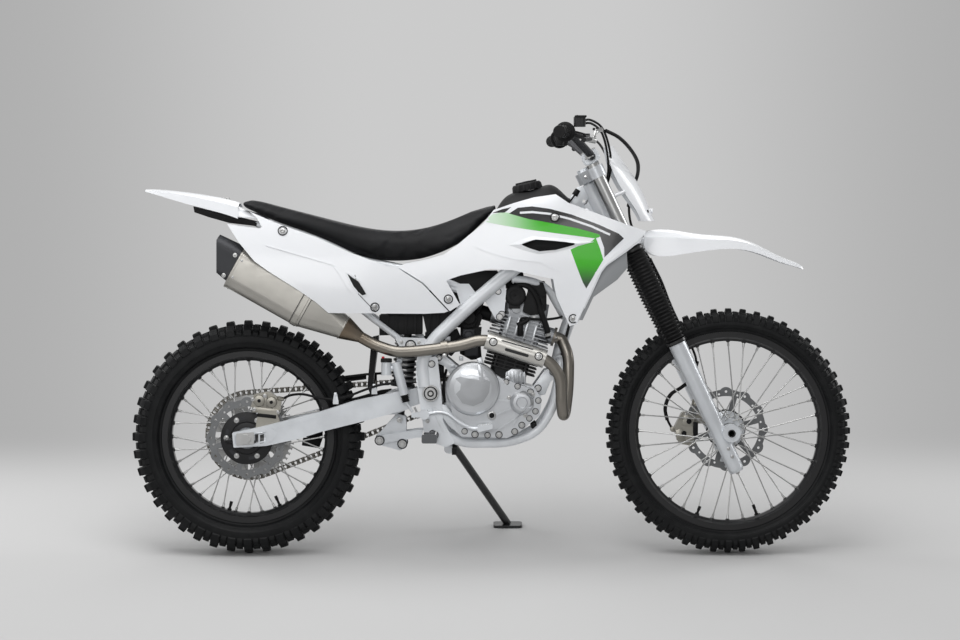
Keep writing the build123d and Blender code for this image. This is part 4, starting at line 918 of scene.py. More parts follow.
# Fork and steering
@dataclass
class Fork:
    """The telescopic fork's legs along its raked axis, with their bellows."""

    rake: float = 25.3
    axle_offset: float = 58.0
    leg_lead: float = 28.0
    half_span: float = 100.0
    slider_top: float = 290.0
    boot_top: float = 588.0
    tube_radius: float = 18.5
    ribs: int = 26

    @property
    def up(self) -> Vector:
        """Gives the steering axis's direction."""
        return Vector((-sin(radians(self.rake)), 0, cos(radians(self.rake))))

    @property
    def ahead(self) -> Vector:
        """Gives the direction square to the steering axis, forward."""
        return Vector((cos(radians(self.rake)), 0, sin(radians(self.rake))))

    def point(self, forward: float, y: float, height: float) -> Vector:
        """Gives a point in the steering axis's frame, its heights from the front axle."""
        origin = Vector((WHEELBASE, 0, FRONT_RADIUS)) - self.ahead * self.axle_offset
        return origin + self.ahead * forward + Vector((0, y, 0)) + self.up * height

    def make(self) -> None:
        """Makes the bellows: convolutions that widen upwards, between two clamped cuffs."""
        low, high = self.slider_top + 10, self.boot_top - 14
        inner = self.tube_radius + 1.2
        profile = [(self.slider_top + 1, inner), (self.slider_top + 1, 27.6),
            (self.slider_top + 3, 28.4), (low - 1, 28.4), (low, 26.4)]
        pitch = (high - low) / self.ribs
        for rib in range(self.ribs):
            base = low + rib * pitch
            swell = 28.0 + 4.8 * min(rib / 12, 1)
            profile += [(base + 0.12 * pitch, swell - 5.4), (base + 0.40 * pitch, swell - 0.5),
                (base + 0.50 * pitch, swell), (base + 0.60 * pitch, swell - 0.5),
                (base + 0.88 * pitch, swell - 5.4)]
        profile += [(high, 27.6), (high + 1, 29.6), (self.boot_top - 1, 29.6),
            (self.boot_top, 28.8), (self.boot_top, inner)]
        shape = Shape()
        for side in SIDES:
            shape.lathe(profile, self.point(self.leg_lead, side * self.half_span, 0), self.up, 48)
        shape.finish("fork_bellows", "black_rubber", Body.STEERING, ["fork_boots"], sharp=60)


# Chain
@dataclass
class Chain:
    """The roller chain round both sprockets."""

    rear_centre: tuple[float, float] = (0, REAR_RADIUS)
    front_centre: tuple[float, float] = (572, 459)
    rear_teeth: int = 48
    front_teeth: int = 13
    pitch: float = 15.875
    line_y: float = 66.0

    def loop(self) -> list[Vector]:
        """Gives points round the chain's closed line."""
        (rx, rz), (fx, fz) = self.rear_centre, self.front_centre
        big, small = (self.pitch / (2 * sin(pi / teeth)) for teeth in
            (self.rear_teeth, self.front_teeth))
        length, slope = hypot(fx - rx, fz - rz), atan2(fz - rz, fx - rx)
        wrap = asin((big - small) / length)
        top, bottom = slope + pi / 2 - wrap, slope - pi / 2 + wrap
        line = []
        for x, z, radius, start, sweep, count in ((fx, fz, small, top, bottom - top, 12),
                (rx, rz, big, bottom, top - bottom - 2 * pi, 60)):
            for i in range(count + 1):
                angle = start + sweep * i / count
                line.append(Vector((x + radius * cos(angle), self.line_y,
                    z + radius * sin(angle))))
        return line

    def link(self, name: str, offset: float) -> Piece:
        """Draws one link: two waisted plates with their ends round two pins."""
        shape = Shape()
        half = self.pitch / 2
        outline = []
        for end in (1, -1):
            for i in range(7):
                angle = radians(-70 + 140 * i / 6) + (0 if end > 0 else pi)
                outline.append((end * half + 6.6 * cos(angle), 6.6 * sin(angle)))
            outline.append((0, 5.2 * end))
        shape.plates(outline, offset, offset + 1.9)
        shape.rod((-half, -offset, 0), (-half, offset, 0), 4.8, 10)
        piece = shape.plain(name)
        piece.data.transform(Matrix.Rotation(pi / 2, 4, "Y"))
        return piece

    def make(self) -> None:
        """Lays the links along the loop, outer and inner by turns."""
        points = self.loop()
        length = sum((b - a).length for a, b in zip(points, points[1:] + points[:1]))
        count = 2 * round(length / self.pitch / 2)
        curve = bpy.data.curves.new("chain_line", "CURVE")
        curve.dimensions = "3D"
        line = curve.splines.new("POLY")
        line.points.add(len(points) - 1)
        for spot, point in zip(line.points, points):
            spot.co = (*point, 1)
        line.use_cyclic_u = True
        made = path_pattern().run(linked("chain_links", curve), Piece=self.link("outer_link", 5.6),
            Second=self.link("inner_link", 3.4), Count=count, Finish=Paints.of("chain_steel"))
        dress(made, "chain_steel", replaces=["drive_chain"], sharp=30)


# Seat
@dataclass
class Cushion:
    """The padded seat, swollen under its cover."""

    voxel: float = 0.006
    swell: float = 0.007
    frames: int = 16
    seam_drop: float = 14.0

    def make(self) -> None:
        """Makes the seat from the space that its CAD solid holds."""
        mesh = frame["nodes"]["seat"].data.copy()
        piece = linked("seat_cushion", mesh)
        form = bmesh.new()
        form.from_mesh(mesh)
        bmesh.ops.remove_doubles(form, verts=form.verts, dist=0.00005)
        form.normal_update()
        for vert in form.verts:
            vert.co -= vert.normal * 0.003
        form.to_mesh(mesh)
        form.free()
        mesh.update()
        remesh = piece.modifiers.new("remesh", "REMESH")
        remesh.mode, remesh.voxel_size = "VOXEL", self.voxel
        baked(piece)
        self._relax(piece.data, 6)
        self._inflate(piece)
        finish = piece.modifiers.new("smooth", "SUBSURF")
        finish.levels = finish.render_levels = 1
        baked(piece)
        piece.data.shade_smooth()
        piece.data.materials.clear()
        piece.data.materials.append(Paints.of("seat_vinyl"))
        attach(piece, Body.CHASSIS.value)
        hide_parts("seat")
        log.info("seat: %d faces", len(piece.data.polygons))

    @staticmethod
    def _relax(mesh: bpy.types.Mesh, rounds: int) -> None:
        """Smooths the remeshed steps away."""
        form = bmesh.new()
        form.from_mesh(mesh)
        for _ in range(rounds):
            bmesh.ops.smooth_vert(form, verts=form.verts, factor=0.5, use_axis_x=True,
                use_axis_y=True, use_axis_z=True)
        form.to_mesh(mesh)
        form.free()

    def _inflate(self, piece: Piece) -> None:
        """Swells the cover with a cloth simulation, and caps how far a point may move."""
        rest = [vert.co.copy() for vert in piece.data.vertices]
        cloth = piece.modifiers.new("cloth", "CLOTH")
        cloth.settings.use_pressure = True
        cloth.settings.uniform_pressure_force = 4.0
        cloth.settings.effector_weights.gravity = 0.0
        cloth.settings.quality = 5
        scene = bpy.context.scene
        for number in range(1, self.frames + 1):
            scene.frame_set(number)
        seen = piece.evaluated_get(bpy.context.evaluated_depsgraph_get())
        swollen = bpy.data.meshes.new_from_object(seen)
        for vert, start in zip(swollen.vertices, rest):
            move = vert.co - start
            if move.length > self.swell:
                vert.co = start + move.normalized() * self.swell
        piece.modifiers.clear()
        piece.data = swollen
        scene.frame_set(1)


# Films on the panels
class Surface:
    """A CAD node's outer face on one side, that films and fasteners are laid on."""

    def __init__(self, node: str, side: int) -> None:
        """Prepares the node's surface; side is -1 for the right of the bike and 1 for its left."""
        self.node = node
        self.side = side
        mesh = frame["nodes"][node].data
        mesh.calc_loop_triangles()
        self.tree = BVHTree.FromPolygons([v.co for v in mesh.vertices],
            [t.vertices for t in mesh.loop_triangles])

    def touch(self, x: float, z: float) -> tuple[Vector, Vector] | None:
        """Finds where a line across the bike meets the outer face.

        Returns:
            The point and the outward normal on the upright bike, in millimetres, or None.
        """
        start = stance.place(x, self.side * 500, z)
        heading = stance.turn(0, -self.side, 0)
        place, normal, _, _ = self.tree.ray_cast(start, heading)
        if place is None:
            return None
        back = stance.matrix.inverted()
        outward = (back.to_3x3() @ normal).normalized()
        if outward.y * self.side < 0:
            outward = -outward
        return back @ place, outward

    def film(self, name: str, outline: Outline, paint: Material | None = None, lift: float = 0.35,
            cell: float = 9.0, slot: str = "white_plastic") -> None:
        """Lays a thin film of this side view on the panel.

        Args:
            name: the piece's name.
            outline: its corners as (x, z).
            paint: its material where it isn't the slot's own.
            lift: its outer face above the panel, in millimetres.
            cell: size of the grid that follows the panel's curve.
            slot: the record's material slot.
        """
        flat = bmesh.new()
        flat.faces.new([flat.verts.new((x, 0, z)) for x, z in outline])
        for axis in (0, 2):
            low = min(p[axis // 2] for p in outline)
            high = max(p[axis // 2] for p in outline)
            cuts = int((high - low) / cell)
            for cut in range(1, cuts + 1):
                spot = Vector((0, 0, 0))
                spot[axis] = low + (high - low) * cut / (cuts + 1)
                normal = Vector((0, 0, 0))
                normal[axis] = 1.0
                bmesh.ops.bisect_plane(flat, geom=flat.verts[:] + flat.edges[:] + flat.faces[:],
                    plane_co=spot, plane_no=normal)
        bmesh.ops.triangulate(flat, faces=flat.faces[:])
        lost = []
        for vert in flat.verts:
            met = self.touch(vert.co.x, vert.co.z)
            if met is None:
                lost.append(vert)
            else:
                vert.co = met[0] + met[1] * lift
        bmesh.ops.delete(flat, geom=lost, context="VERTS")
        shape = Shape()
        shape.mesh.free()
        shape.mesh = flat
        piece = shape.plain(name)
        if self.side > 0:
            piece.data.flip_normals()
        solid = piece.modifiers.new("film", "SOLIDIFY")
        solid.thickness, solid.offset = lift * 0.8, -1.0
        baked(piece)
        dress(piece, slot, sharp=50, paint=paint)


def stadium(start: Point, end: Point, radius: float, steps: int = 6) -> Outline:
    """Gives the outline of a slot with round ends between two side-view points."""
    angle = atan2(end[1] - start[1], end[0] - start[0])
    points = []
    for centre, turn in ((end, -pi / 2), (start, pi / 2)):
        for step in range(steps + 1):
            around = angle + turn + pi * step / steps
            points.append((centre[0] + radius * cos(around), centre[1] + radius * sin(around)))
    return points


def band(points: Sequence[Point], width: float) -> Outline:
    """Gives the outline of a strip of this width along side-view points."""
    upper, lower = [], []
    for i, point in enumerate(points):
        before, after = points[max(i - 1, 0)], points[min(i + 1, len(points) - 1)]
        run = (Vector(after) - Vector(before)).normalized() * width / 2
        upper.append((point[0] - run.y, point[1] + run.x))
        lower.append((point[0] + run.y, point[1] - run.x))
    return upper + lower[::-1]


# Fasteners
class Head(Enum):
    """The kinds of small repeated piece."""

    HEXAGON = "hexagon"
    SOCKET = "socket"
    TOOTH = "tooth"
    WASHER = "washer"


@dataclass
class Fasteners:
    """Small repeated pieces of one kind, finish and body, set in place by a pattern."""

    name: str
    head: Head = Head.HEXAGON
    body: Body = Body.CHASSIS
    slot: str = "bright_steel"
    spots: list[tuple[Vector, Vector, float]] = field(default_factory=list)

    def add(self, place: Point, facing: Point, radius: float) -> None:
        """Adds one piece at a point, along a direction."""
        self.spots.append((Vector(place), Vector(facing).normalized(), radius))

    def on(self, surface: Surface, *spots: Triple) -> None:
        """Adds a piece wherever side-view points (x, z, radius) meet a surface."""
        for x, z, radius in spots:
            met = surface.touch(x, z)
            if met:
                self.add(met[0] - met[1] * 0.3, met[1], radius)

    def around(self, centre: Point, facing: Point, reach: float, count: int, radius: float,
            start: float = 0.0) -> None:
        """Adds pieces in a circle about a centre."""
        along, side, other = axes(facing)
        for i in range(count):
            angle = start + 2 * pi * i / count
            self.add(Vector(centre) + (side * cos(angle) + other * sin(angle)) * reach, along,
                radius)

    def rings(self, name: str) -> Fasteners:
        """Gives a thin dark ring about each of the pieces: painted shade round their heads."""
        return Fasteners(name, Head.WASHER, self.body, "dark_alloy",
            [(place, along, 1.3 * radius) for place, along, radius in self.spots])

    def piece(self) -> Piece:
        """Draws the piece at unit radius, standing along Z."""
        shape = Shape()
        if self.head is Head.HEXAGON:
            shape.rod((0, 0, 0), (0, 0, 0.24), 1, 16, 0.96)
            shape.rod((0, 0, 0.2), (0, 0, 0.72), 0.72, 6)
            shape.rod((0, 0, 0.7), (0, 0, 0.8), 0.68, 12, 0.58)
        elif self.head is Head.SOCKET:
            shape.lathe([(0, 0.1), (0, 1), (0.18, 1), (0.24, 0.93), (0.24, 0.74), (0.46, 0.7),
                (0.54, 0.58), (0.54, 0.34), (0.28, 0.3), (0.28, 0.1)], (0, 0, 0), (0, 0, 1), 18)
            shape.rod((0, 0, 0.1), (0, 0, 0.28), 0.3, 6)
        elif self.head is Head.WASHER:
            shape.lathe([(0, 0.78), (0, 1), (0.11, 1), (0.11, 0.78)], (0, 0, 0), (0, 0, 1), 28)
        else:
            shape.rod((0, 0, 0), (0, 0, 1.6), 1, 4, 0.35)
        return shape.plain(f"{self.name}_piece")

    def make(self) -> None:
        """Sets the pieces and hands them over."""
        mesh = bpy.data.meshes.new(self.name)
        mesh.from_pydata([place for place, _, _ in self.spots], [], [])
        mesh.attributes.new("facing", "FLOAT_VECTOR", "POINT")
        mesh.attributes.new("size", "FLOAT", "POINT")
        for i, (_, along, radius) in enumerate(self.spots):
            mesh.attributes["facing"].data[i].vector = along
            mesh.attributes["size"].data[i].value = radius
        made = fastener_pattern().run(linked(self.name, mesh), Piece=self.piece(),
            Finish=Paints.of(self.slot))
        dress(made, self.slot, self.body)


# Discs and hubs
class Carriers:
    """The carriers of both discs, the sprocket's bolts and the hubs' dust lips."""

    def make(self) -> None:
        """Makes the pieces on both wheels."""
        self._rear()
        self._front()
        bolts = Fasteners("rear_wheel_bolts", Head.SOCKET, Body.REAR_WHEEL)
        bolts.around((0, -69.4, REAR_RADIUS), (0, -1, 0), 57.5, 6, 7.5, radians(15))
        bolts.around((0, 69, REAR_RADIUS), (0, 1, 0), 52, 6, 8)
        bolts.make()
        bolts = Fasteners("front_wheel_bolts", Head.SOCKET, Body.FRONT_WHEEL)
        bolts.around((WHEELBASE, 55.6, FRONT_RADIUS), (0, -1, 0), 38, 6, 5)
        bolts.around((WHEELBASE, 62.2, FRONT_RADIUS), (0, 1, 0), 38, 6, 6)
        bolts.make()

    @staticmethod
    def _rear() -> None:
        """Makes the rear disc's black carrier, with its slots."""
        centre = (0, 0, REAR_RADIUS)
        (Shape()
         .lathe([(66.2, 44), (66.2, 74), (68.6, 74), (69.4, 72.6), (69.4, 46)], centre, (0, -1, 0),
             72)
         .lathe([(66, 30), (66, 45), (71.5, 44), (73, 40), (73, 30)], centre, (0, -1, 0), 48)
         .finish("rear_disc_carrier", "black_alloy", Body.REAR_WHEEL))
        slots = Shape()
        for i in range(6):
            turn = 2 * pi * (i + 0.5) / 6 + radians(75)
            ring = []
            for reach, way in ((52.5, 1), (61.5, -1)):
                for k in range(7):
                    angle = turn + way * (0.34 * k / 6 - 0.17)
                    ring.append((reach * cos(angle), REAR_RADIUS + reach * sin(angle)))
            slots.prism(ring, -69.9, -69.2)
        slots.finish("rear_carrier_slots", "dark_alloy", Body.REAR_WHEEL)

    @staticmethod
    def _front() -> None:
        """Makes the front disc's toothed carrier."""
        shape = Shape()
        outline = []
        for i in range(96):
            angle = 2 * pi * i / 96
            reach = 57.0 if i % 8 < 4 else 52.0
            outline.append((WHEELBASE + reach * cos(angle), FRONT_RADIUS + reach * sin(angle)))
        shape.prism(outline, 55.6, 57.9)
        shape.finish("front_disc_carrier", "black_alloy", Body.FRONT_WHEEL, bevel=0.4)
        lips = Shape()
        for side in SIDES:
            lips.lathe([(68, 18), (68, 26), (72.6, 25), (72.6, 18)], (WHEELBASE, 0, FRONT_RADIUS),
                (0, side, 0), 40)
        lips.finish("front_hub_lips", "black_rubber", Body.FRONT_WHEEL)


# Engine
@dataclass
class Engine:
    """The engine's cast details, bolts, hoses and plug lead."""

    lean: float = 16.0
    base: Triple = (730, 0, 496)

    @property
    def barrel(self) -> Matrix:
        """Gives the leaning cylinder's frame, Z along its bore."""
        return Matrix.Translation(self.base) @ Matrix.Rotation(radians(self.lean), 4, "Y")

    def covers(self) -> None:
        """Makes what is cast and bolted on the side covers, with a painted highlight on the clutch cover's crest
        and painted shade in its recess.
        """
        right = Surface("clutch_cover", -1)
        # Painted highlight and shade: the crest takes a brighter, fully metallic copy of the cast alloy, and the
        # recessed field a darker copy that is also rougher and coarser.
        right.film("clutch_crest", [(600, 520), (607, 528), (622, 536), (640, 538), (655, 534),
            (668, 524), (676, 508), (664, 505), (645, 507), (632, 512), (618, 508), (606, 512)],
            lift=3, slot="engine_alloy", cell=6, paint=Paints.of("bright_cast",
            Metal((0.66, 0.675, 0.70), 0.30, cast=0.02)))
        right.film("clutch_field", [(586, 500), (600, 506), (628, 500), (652, 496), (668, 500),
            (684, 492), (680, 462), (664, 436), (636, 424), (606, 432), (588, 458), (600, 470),
            (602, 486)], lift=1.4, slot="engine_alloy", cell=6, paint=Paints.of("matt_cast",
            Metal((0.42, 0.43, 0.445), 0.46, cast=0.06)))
        for name, ends, width in (("rib_a", [(716, 496), (738, 466)], 5),
                ("rib_b", [(704, 440), (738, 436)], 6), ("rib_c", [(700, 398), (742, 414)], 5),
                ("rib_d", [(748, 372), (764, 398)], 6), ("rib_e", [(790, 456), (806, 446)], 6),
                ("rib_f", [(700, 352), (760, 392), (800, 424)], 4)):
            right.film(f"cover_{name}", band(ends, width), lift=4, slot="engine_alloy", cell=8)
        right.film("cover_boss", [(648, 356), (652, 368), (668, 372), (674, 384), (700, 378),
            (706, 362), (690, 352)], lift=5, slot="engine_alloy")
        bolts = Fasteners("cover_bolts")
        bolts.on(right, (612, 352, 7), (641, 343, 8), (676, 341, 7), (708, 342, 8),
            (752, 351, 7.5), (772, 369, 7.5), (793, 388, 7), (810, 408, 7), (818, 438, 7),
            (796, 462, 7.5), (760, 478, 7), (728, 490, 7))
        left = Surface("generator_cover", 1)
        bolts.on(left, (664, 362, 7), (700, 356, 7), (736, 354, 7), (768, 374, 7), (793, 402, 7),
            (803, 440, 7), (770, 482, 7), (730, 489, 7), (692, 490, 7), (658, 456, 7),
            (656, 408, 7))
        bolts.make()
        # Painted shade: a thin dark ring round each cover bolt.
        bolts.rings("cover_bolt_rings").make()
        studs = Fasteners("cover_screws", Head.SOCKET)
        for angle in (35, 160, 285):
            studs.on(right, (772 + 38 * cos(radians(angle)), 433 + 38 * sin(radians(angle)), 6.5))
        studs.make()
        (Shape()
         .lathe([(104, 8), (104, 12.5), (109.6, 12.5), (110.6, 11), (110.6, 8)], (688, 0, 396),
             (0, -1, 0), 32)
         .finish("oil_window_ring", "bright_steel"))
        (Shape().rod((688, -104, 396), (688, -109.4, 396), 8.2, 24, 7.2)
         .finish("oil_window", "black_rubber"))

    def starter(self) -> None:
        """Makes the starter, the clutch arm and the front mounts."""
        shape = Shape()
        shape.prism([(724, 486), (727, 516), (744, 526), (770, 524), (784, 510), (784, 486)], -84,
            -58, 1.5)
        for x in (728, 738, 748, 758, 768, 778):
            shape.block((x, -92, 484), (x + 3.4, -64, 518))
        shape.rod((733, -84, 500), (733, -93, 500), 8, 20, 7)
        shape.prism([(650, 530), (646, 556), (660, 560), (668, 532)], -104, -78, 1.5)
        shape.prism([(654, 492), (647, 540), (657, 542), (668, 494)], -137.5, -118, 2)
        shape.finish("starter", "engine_alloy", bevel=1.2)
        (Shape()
         .plates([(806, 446), (800, 470), (836, 520), (868, 530), (874, 508), (852, 486),
             (838, 452)], 55, 59.5)
         .plates([(604, 500), (596, 530), (560, 560), (528, 566), (524, 546), (556, 532),
             (578, 500)], 64, 68.5)
         .finish("engine_mounts", "frame_paint", bevel=0.8))
        (Shape().block((512, -56, 498), (553, 56, 556)).block((520, -64, 510), (548, 64, 532))
         .rod((566, -60, 566), (606, -52, 612), 11)
         .finish("breather_box", "black_plastic", bevel=3))

    def head(self) -> None:
        """Makes the ribs, bosses and studs of the head."""
        shape = Shape(self.barrel)
        for side in SIDES:
            for forward, top in ((-38, 172), (-12, 176), (14, 176), (40, 168)):
                shape.block((forward - 3, side * 50, 110), (forward + 3, side * 71, top))
            for forward, radius, sides in ((26, 18, 28), (-28, 13, 24)):
                shape.rod((forward, side * 52, 198), (forward, side * 66, 198), radius, sides)
            shape.rod((50, side * 44, 110), (50, side * 44, 184), 8, 16)
        shape.finish("head_ribs", "engine_alloy", bevel=1)
        barrel = Shape(self.barrel)
        for side in SIDES:
            for forward in (-44, -16, 12, 42):
                barrel.block((forward - 2.5, side * 50, 24), (forward + 2.5, side * 70, 101))
        barrel.finish("barrel_ribs", "black_alloy")
        bolts = Fasteners("head_bolts")
        turn = self.barrel.to_3x3()
        for side in SIDES:
            for forward in (-46, -6, 44):
                bolts.add(self.barrel @ Vector((forward, side * 40, 231)),
                    turn @ Vector((0, 0, 1)), 7)
            for height in (206, 188):
                bolts.add(self.barrel @ Vector((26, side * 66, height)), (0, side, 0), 5)
        port = self.barrel @ Vector((99, -36, 150))
        ahead = turn @ Vector((1, 0, 0))
        for side in SIDES:
            bolts.add(port + Vector((0, side * 21, 0)), ahead, 5)
        bolts.make()

    def plumbing(self) -> None:
        """Makes the air valve with its hoses, the plug lead and the throttle body."""
        (Shape()
         .lathe([(60, 2), (60, 27), (64, 30), (78, 30), (83, 27), (85, 22), (85, 16), (83, 14),
             (83, 2)], (754, 0, 731), (0, -1, 0), 40)
         .prism([(774, 686), (780, 716), (788, 742), (790, 770), (832, 768), (842, 738),
             (842, 690), (826, 678), (796, 674)], -72, -64, 1.5)
         .prism([(812, 704), (812, 726), (838, 726), (838, 704)], -77, -70, 1)
         .rod((752, -70, 727), (752, -70, 758), 11, 20).block((736, -80, 694), (768, -62, 712))
         .finish("air_valve", "black_plastic", bevel=1.5))
        (Shape()
         .tube([(752, -70, 752), (770, -72, 762), (796, -74, 752), (816, -74, 722),
             (828, -72, 680), (842, -66, 640), (846, -58, 612)], 8.5, 16)
         .tube([(768, -76, 640), (768, -78, 660), (778, -79, 668), (812, -76, 664),
             (848, -60, 664), (880, -30, 668), (888, -10, 672)], 3.6)
         .tube([(640, -46, 676), (652, -60, 690), (664, -66, 716), (672, -60, 748)], 4)
         .tube([(622, 46, 676), (640, 64, 700), (690, 70, 742), (740, 62, 758)], 5)
         .tube([(560, -30, 520), (556, -60, 500), (552, -70, 470), (556, -74, 430)], 4)
         .finish("engine_hoses", "black_rubber"))
        (Shape().rod((768, -74, 618), (768, -76, 648), 9.5, 20, 8)
         .rod((760, -76, 646), (792, -78, 664), 8, 20, 5.5)
         .finish("plug_cap", "black_rubber", bevel=1.5))
        clips = Shape()
        for place, along in (((845, -60, 622), (0.3, 0.2, -1)), ((754, -70, 752), (0, 0, 1))):
            clips.lathe([(-4, 8.4), (-4, 10.2), (4, 10.2), (4, 8.4)], place, along, 20)
        for x, radius in ((596, 27), (648, 24)):
            clips.lathe([(-5, radius - 4), (-5, radius), (5, radius), (5, radius - 4)],
                (x, 0, 668), (1, 0, 0.2), 36)
        clips.finish("hose_clamps", "bright_steel")
        (Shape()
         .prism([(502, 592), (500, 626), (545, 612), (590, 636), (600, 612), (596, 578),
             (562, 560), (532, 564)], -46, 46)
         .prism([(598, 566), (600, 640), (660, 640), (656, 600), (660, 552), (630, 548)], -34, 34)
         .block((786, -34, 748), (838, 34, 770))
         .prism([(540, 708), (552, 790), (604, 800), (704, 800), (712, 782), (664, 716),
             (600, 708)], -54, 54)
         .prism([(700, 742), (716, 798), (776, 798), (782, 762), (740, 752)], -40, 40)
         .tube([(930, -10, 770), (918, -22, 700), (905, -26, 640), (890, -26, 580),
             (880, -26, 530)], 4)
         .tube([(786, -20, 762), (760, -50, 776), (700, -72, 760), (650, -78, 724)], 4)
         .finish("engine_bay", "black_plastic", bevel=1.5))
        (Shape().block((606, -44, 600), (640, 44, 636))
         .rod((623, -44, 618), (623, -52, 618), 13, 24, 12).block((612, -58, 560), (650, -40, 584))
         .finish("float_bowl", "dark_alloy", bevel=2))
        plugs = Shape()
        for x, z, wide in ((556, 604, 16), (572, 528, 14), (596, 548, 12), (540, 586, 12)):
            plugs.block((x, -70, z), (x + wide, -58, z + 12))
        plugs.finish("connectors", "satin_alloy", bevel=1.5)
        (Shape().block((604, -40, 640), (642, 40, 694))
         .rod((624, -46, 668), (624, -58, 668), 20, 28, 18)
         .rod((624, 46, 668), (624, 62, 668), 24, 28, 22).block((608, -34, 694), (640, 34, 704))
         .finish("throttle_body", "black_plastic", bevel=1.5))

    def make(self) -> None:
        """Makes the engine's pieces."""
        self.covers()
        self.starter()
        self.head()
        self.plumbing()


# Exhaust
@dataclass
class Exhaust:
    """The exhaust's welds, straps and fasteners, with thin dark strips of painted shade at the can's raised joint
    and in the shield's slot and crease.
    """

    front: Triple = (276, -108, 641)
    rise: float = 29.3

    @property
    def can(self) -> Matrix:
        """Gives the muffler's frame: Z along it to the rear, X across the bike."""
        run = Vector((-cos(radians(self.rise)), 0, sin(radians(self.rise))))
        across = Vector((0, 1, 0))
        return (Matrix.Translation(self.front) @ Matrix((across, run.cross(across),
            run)).transposed().to_4x4())

    def hoop(self, shape: Shape, along: float, width: float, height: float, corner: float,
            thick: float, long: float) -> None:
        """Adds a hoop of rounded section round the can, at this distance along it."""
        half = long / 2
        rounds = [[shape.add(x, y, along + at) for x, y in self.section(width + 2 * reach,
            height + 2 * reach, corner + reach)] for reach, at in ((-1, -half),
            (thick, 0.6 - half), (thick, half - 0.6), (-1, half))]
        shape.bridge(list(zip(*rounds)), closed=True)

    def body(self) -> None:
        """Makes the can: a straight cone, a raised joint and the rounded body."""
        shape = Shape(self.can)
        rings = []
        for along, width, height, corner in ((0, 65, 65, 32.4), (116, 81, 120, 33),
                (118, 84, 124, 34), (123, 84, 124, 34), (124, 88, 128, 36), (139, 88, 128, 36),
                (140, 84, 124, 34), (345, 84, 124, 34), (350, 83, 123, 33)):
            rings.append([shape.add(x, y, along) for x, y in self.section(width, height, corner)])
        shape.bridge(rings)
        shape.finish("muffler_body", "muffler_alloy", replaces=["muffler"], sharp=30)

    @staticmethod
    def section(width: float, height: float, corner: float) -> list[tuple[float, float]]:
        """Gives a rounded rectangle's points, nine to a corner."""
        points = []
        for quarter in range(4):
            x = (width / 2 - corner) * (1 if quarter in (0, 3) else -1)
            y = (height / 2 - corner) * (1 if quarter in (0, 1) else -1)
            for step in range(9):
                angle = pi / 2 * (quarter + step / 8)
                points.append((x + corner * cos(angle), y + corner * sin(angle)))
        return points

    def make(self) -> None:
        """Makes the exhaust's pieces."""
        self.body()
        welds = Shape(self.can)
        self.hoop(welds, 3, 65, 65, 32.4, 3, 4)
        self.hoop(welds, 347, 84, 124, 34, 1.6, 6)
        welds.finish("muffler_bands", "muffler_alloy", sharp=50)
        # Painted shade: thin dark hoops at both edges of the raised joint band stand for the shade in its steps.
        seams = Shape(self.can)
        self.hoop(seams, 142, 84, 124, 34, 0.7, 3)
        self.hoop(seams, 116, 81, 120, 33, 0.7, 2)
        seams.finish("muffler_seams", "dark_alloy", sharp=50)
        rivets = Fasteners("muffler_rivets", Head.SOCKET)
        turn = self.can.to_3x3()
        for across, away in ((-1, 0), (1, 0), (0, 1)):
            for shift in (-26, 26) if across else (62.2,):
                rivets.add(self.can @ Vector((across * 42.2, shift, 338)),
                    turn @ Vector((across, away, 0)), 3.8)
        for shift in (-30, 34):
            rivets.add(self.can @ Vector((-43, shift, 362)), turn @ Vector((-1, 0, 0)), 6)
        shield = Surface("heat_shield", -1)
        rivets.on(shield, (692, 604, 9), (818, 564, 9))
        rivets.make()
        rings = Fasteners("shield_rings", Head.WASHER, slot="black_rubber")
        rings.on(shield, (692, 604, 12), (818, 564, 12))
        rings.make()
        # Painted shade: a black strip stands for the dark inside of the shield's slot, and a thin dark strip for
        # the shade in its crease.
        shield.film("shield_slot", stadium((728, 583), (786, 566), 4.2), lift=0.5,
            slot="black_paint", cell=5)
        shield.film("shield_crease", stadium((716, 608), (802, 583), 1.6), lift=0.6,
            slot="dark_alloy", cell=5)
        (Shape().block((552, -150, 562), (562, -128, 570))
         .rod((557, -154, 566), (557, -124, 566), 4, 12)
         .rod((557, -157, 566), (557, -151, 566), 6.5, 6)
         .finish("exhaust_clamp", "bright_steel", bevel=0.5))


